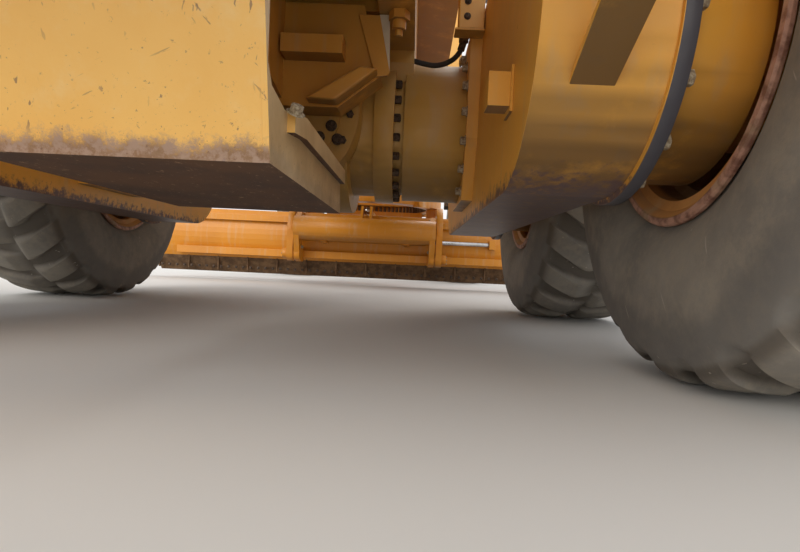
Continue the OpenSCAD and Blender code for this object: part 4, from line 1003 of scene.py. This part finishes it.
def front_details():
    # Pipes along both sides of the beam, with clamps
    pipes, clamps = Shape(), Shape()
    course = [(2.86, 1.36), (3.20, 1.585), (3.62, 1.690), (4.30, 1.735), (5.10, 1.745), (5.80, 1.715),
              (6.25, 1.610), (6.52, 1.400)]
    for i in range(3):
        pipes.tube(smooth_path([(0.180, at(y + 0.012 * i), z - 0.034 * i) for y, z in course], 7), 0.0095, 10)
    for y, z in ((3.62, 1.66), (4.60, 1.70), (5.45, 1.697), (6.25, 1.575)):
        clamps.box((0.163, at(y - 0.022), z - 0.055), (0.195, at(y + 0.022), z + 0.055))
        clamps.bolt((0.195, at(y), z - 0.002), (1, 0, 0), 0.009, 0.007)
    pipes.mirrored().make("beam_pipes", FRONT, DARK_PAINT)
    clamps.mirrored().make("pipe_clamps", FRONT, DARK_BOLT, 0.002)
    # Head lamps on their bar
    bar, cases, lenses = Shape(), Shape(), Shape()
    bar.box((-0.50, at(6.690), 1.270), (0.50, at(6.740), 1.320))
    for sign in (-1, 1):
        bar.box((sign * 0.43, at(6.695), 1.318), (sign * 0.47, at(6.735), 1.360))
        centre = (sign * 0.45, at(6.715), 1.445)
        cases.turned([(0.0, -0.085), (0.05, -0.080), (0.082, -0.045), (0.092, 0.0), (0.092, 0.030),
                      (0.084, 0.030), (0.0, 0.030)], centre, "Y", 48, False)
        lenses.turned([(0.0, 0.036), (0.050, 0.034), (0.083, 0.026), (0.0, 0.026)], centre, "Y", 48, False)
    bar.make("lamp_bar", FRONT, PAINT, 0.004)
    cases.make("head_lamp_cases", FRONT, DARK_PAINT)
    lenses.make("head_lamp_lenses", FRONT, LENS)
    # Glands, pipes and bolts of the lift cylinders, pin bolts of the saddle
    lift, bolts = Shape(), Shape()
    for _, sign in SIDES:
        x, y = sign * LIFT_X, CIRCLE_Y
        lift.turned([(0.064, 1.540), (0.074, 1.540), (0.074, 1.610), (0.064, 1.618)], (x, y, 0), "Z", 48)
        lift.turned([(0.0655, 2.500), (0.070, 2.500), (0.070, 2.532), (0.0, 2.548), (0.0, 2.541),
                     (0.0655, 2.541)], (x, y, 0), "Z", 48)
        for z in (1.66, 2.46):
            lift.box((x - 0.022, y - 0.088, z - 0.022), (x + 0.022, y - 0.058, z + 0.022))
        for foot, top in ((1.66, 1.98), (2.14, 2.46)):
            lift.tube([(x, y - 0.082, foot), (x, y - 0.082, top)], 0.009, 10)
        bolt_ring(bolts, (sign * 0.722, y, 2.050), (sign, 0, 0), 0.046, 6, 0.009, 0.008)
    lift.make("lift_fittings", FRONT, PAINT, 0.0015)
    nose = Shape()
    nose.rod((0, at(6.400), 0.735), (0, at(6.720), 0.735), 0.062, 40)
    for sign in (-1, 1):
        bolts.rod((sign * 0.860, at(6.559), 0.865), (sign * 0.860, at(6.559), 0.878), 0.052, 32)
    nose.make("axle_pivot", FRONT, PAINT, 0.003)
    bolt_ring(bolts, (0, at(6.720), 0.735), (0, 1, 0), 0.045, 6, 0.009, 0.008)
    bolts.make("front_bolts", FRONT, DARK_BOLT)
    # Ridges on the treads of the steps
    ridges = Shape()
    for sign in (-1, 1):
        for z in (0.820, 1.120, 1.420):
            for i in range(9):
                y = 2.82 + 0.045 * i
                ridges.box((sign * 0.748, at(y), z), (sign * 0.832, at(y + 0.012), z + 0.005))
    ridges.make("step_ridges", FRONT, DARK_PAINT)


def circle_details():
    teeth = Shape()
    ring = 0.602
    for turn in turns(72):
        outline = []
        for radius, half in ((ring, 0.017), (ring - 0.024, 0.010)):
            for way in ((-1, 1) if radius == ring else (1, -1)):
                angle = turn + way * half / ring
                x, y = polar(radius, angle)
                outline.append((x, CIRCLE_Y + y))
        teeth.prism(outline, "Z", 0.848, 0.922)
    teeth.make("circle_teeth", "circle", EDGE_STEEL, 0.0015, 1)
    # Motor and bolts on the drawbar
    motor, bolts = Shape(), Shape()
    motor.turned([(0.0, 1.160), (0.085, 1.160), (0.085, 1.175), (0.066, 1.180), (0.066, 1.262),
                  (0.052, 1.282), (0.0, 1.282)], (0, at(4.879), 0), "Z", 48, False)
    motor.box((-0.03, at(4.930), 1.200), (0.03, at(4.972), 1.250))
    motor.make("circle_motor", "drawbar", DARK_PAINT, 0.002)
    bolt_ring(bolts, (0, at(4.879), 1.160), UPWARD, 0.103, 10, 0.009, 0.008)
    for i in range(4):
        angle = math.tau * (i + 0.5) / 4
        for r, spread in ((0.715, -0.07), (0.715, 0.07), (0.775, -0.05), (0.775, 0.05)):
            x, y = polar(r, angle + spread / r)
            bolts.bolt((x, CIRCLE_Y + y, 0.960), UPWARD, 0.014, 0.012)
    for sign in (-1, 1):
        for y in (4.23, 4.33):
            bolts.bolt((sign * 0.45, at(y), 1.040), UPWARD, 0.014, 0.012)
    bolts.make("drawbar_bolts", "drawbar", DARK_BOLT)


# Camera, light and floor

FOCAL = 562.4            # focal length in pixels of the photograph's frame
PHOTO_W, PHOTO_H = 800, 552
PRINCIPAL_V = 280.36
YAW, PITCH, ROLL = -0.020, -0.028, 0.047
CAMERA_X, CAMERA_BACK, CAMERA_Z = 0.469, 1.222, 0.230
WORLD_LIGHT = 0.76


def camera():
    ahead = Vector((math.sin(YAW) * math.cos(PITCH), math.cos(YAW) * math.cos(PITCH), math.sin(PITCH)))
    across = Vector((math.cos(YAW), -math.sin(YAW), 0))
    up = across.cross(ahead)
    right = across * math.cos(ROLL) + up * math.sin(ROLL)
    above = up * math.cos(ROLL) - across * math.sin(ROLL)
    data = bpy.data.cameras.new("camera")
    data.sensor_width = 36.0
    data.lens = FOCAL / PHOTO_W * data.sensor_width
    data.shift_y = (PRINCIPAL_V - PHOTO_H / 2) / PHOTO_W
    data.clip_start = 0.02
    data.clip_end = 200
    eye = show("camera", data)
    turn = Matrix((right, above, -ahead)).transposed().to_4x4()
    eye.matrix_world = Matrix.Translation((CAMERA_X, REAR_AXLE.y - CAMERA_BACK, CAMERA_Z)) @ turn
    bpy.context.scene.camera = eye


def sun(name, place, power, softness, colour=(1, 1, 1)):
    """Sunlight that comes from a place towards the machine; softness is its angle in degrees."""
    data = bpy.data.lights.new(name, "SUN")
    data.energy = power
    data.angle = math.radians(softness)
    data.color = colour
    lamp = show(name, data, place)
    lamp.rotation_euler = (-Vector(place)).to_track_quat("-Z", "Y").to_euler()


def lights():
    sun("key", (-6, -12, 9), 1.4, 40, (1.0, 0.97, 0.92))
    sun("low", (-2, -12, 2.2), 1.3, 50, (1.0, 0.96, 0.9))
    sun("front", (6, 12, 12), 0.8, 30, (1.0, 0.98, 0.95))
    world = bpy.data.worlds.new("world")
    bpy.context.scene.world = world
    world.use_nodes = True
    nodes, links = world.node_tree.nodes, world.node_tree.links
    nodes.clear()

    def background(colour, strength):
        node = nodes.new("ShaderNodeBackground")
        node.inputs["Color"].default_value = colour
        node.inputs["Strength"].default_value = strength
        return node.outputs[0]

    # The camera, reflections and glass see a white world, and a dimmer one gives the light
    path = nodes.new("ShaderNodeLightPath")
    either = path.outputs["Is Camera Ray"]
    for ray in ("Is Glossy Ray", "Is Transmission Ray"):
        node = nodes.new("ShaderNodeMath")
        node.operation = "MAXIMUM"
        links.new(either, node.inputs[0])
        links.new(path.outputs[ray], node.inputs[1])
        either = node.outputs[0]
    mix = nodes.new("ShaderNodeMixShader")
    links.new(either, mix.inputs[0])
    links.new(background((0.93, 0.96, 1.0, 1), WORLD_LIGHT), mix.inputs[1])
    links.new(background((1, 1, 1, 1), 1.0), mix.inputs[2])
    links.new(mix.outputs[0], nodes.new("ShaderNodeOutputWorld").inputs[0])


def floor():
    reach = 60.0
    mesh = bpy.data.meshes.new("floor")
    corners = [(-reach, -reach, 0), (reach, -reach, 0), (reach, reach, 0), (-reach, reach, 0)]
    mesh.from_pydata(corners, [], [(0, 1, 2, 3)])
    mesh.materials.append(Surface("floor").finish(rgb(222, 220, 216), 0.9))
    show("floor", mesh)


bpy.context.scene.view_settings.view_transform = "Standard"
camera()
lights()
floor()
dress_nodes()
wheels()
axle_details()
casting_details()
tandem_details()
blade_details()
hood_details()
engine_details()
cab_details()
cab_inside()
front_details()
circle_details()
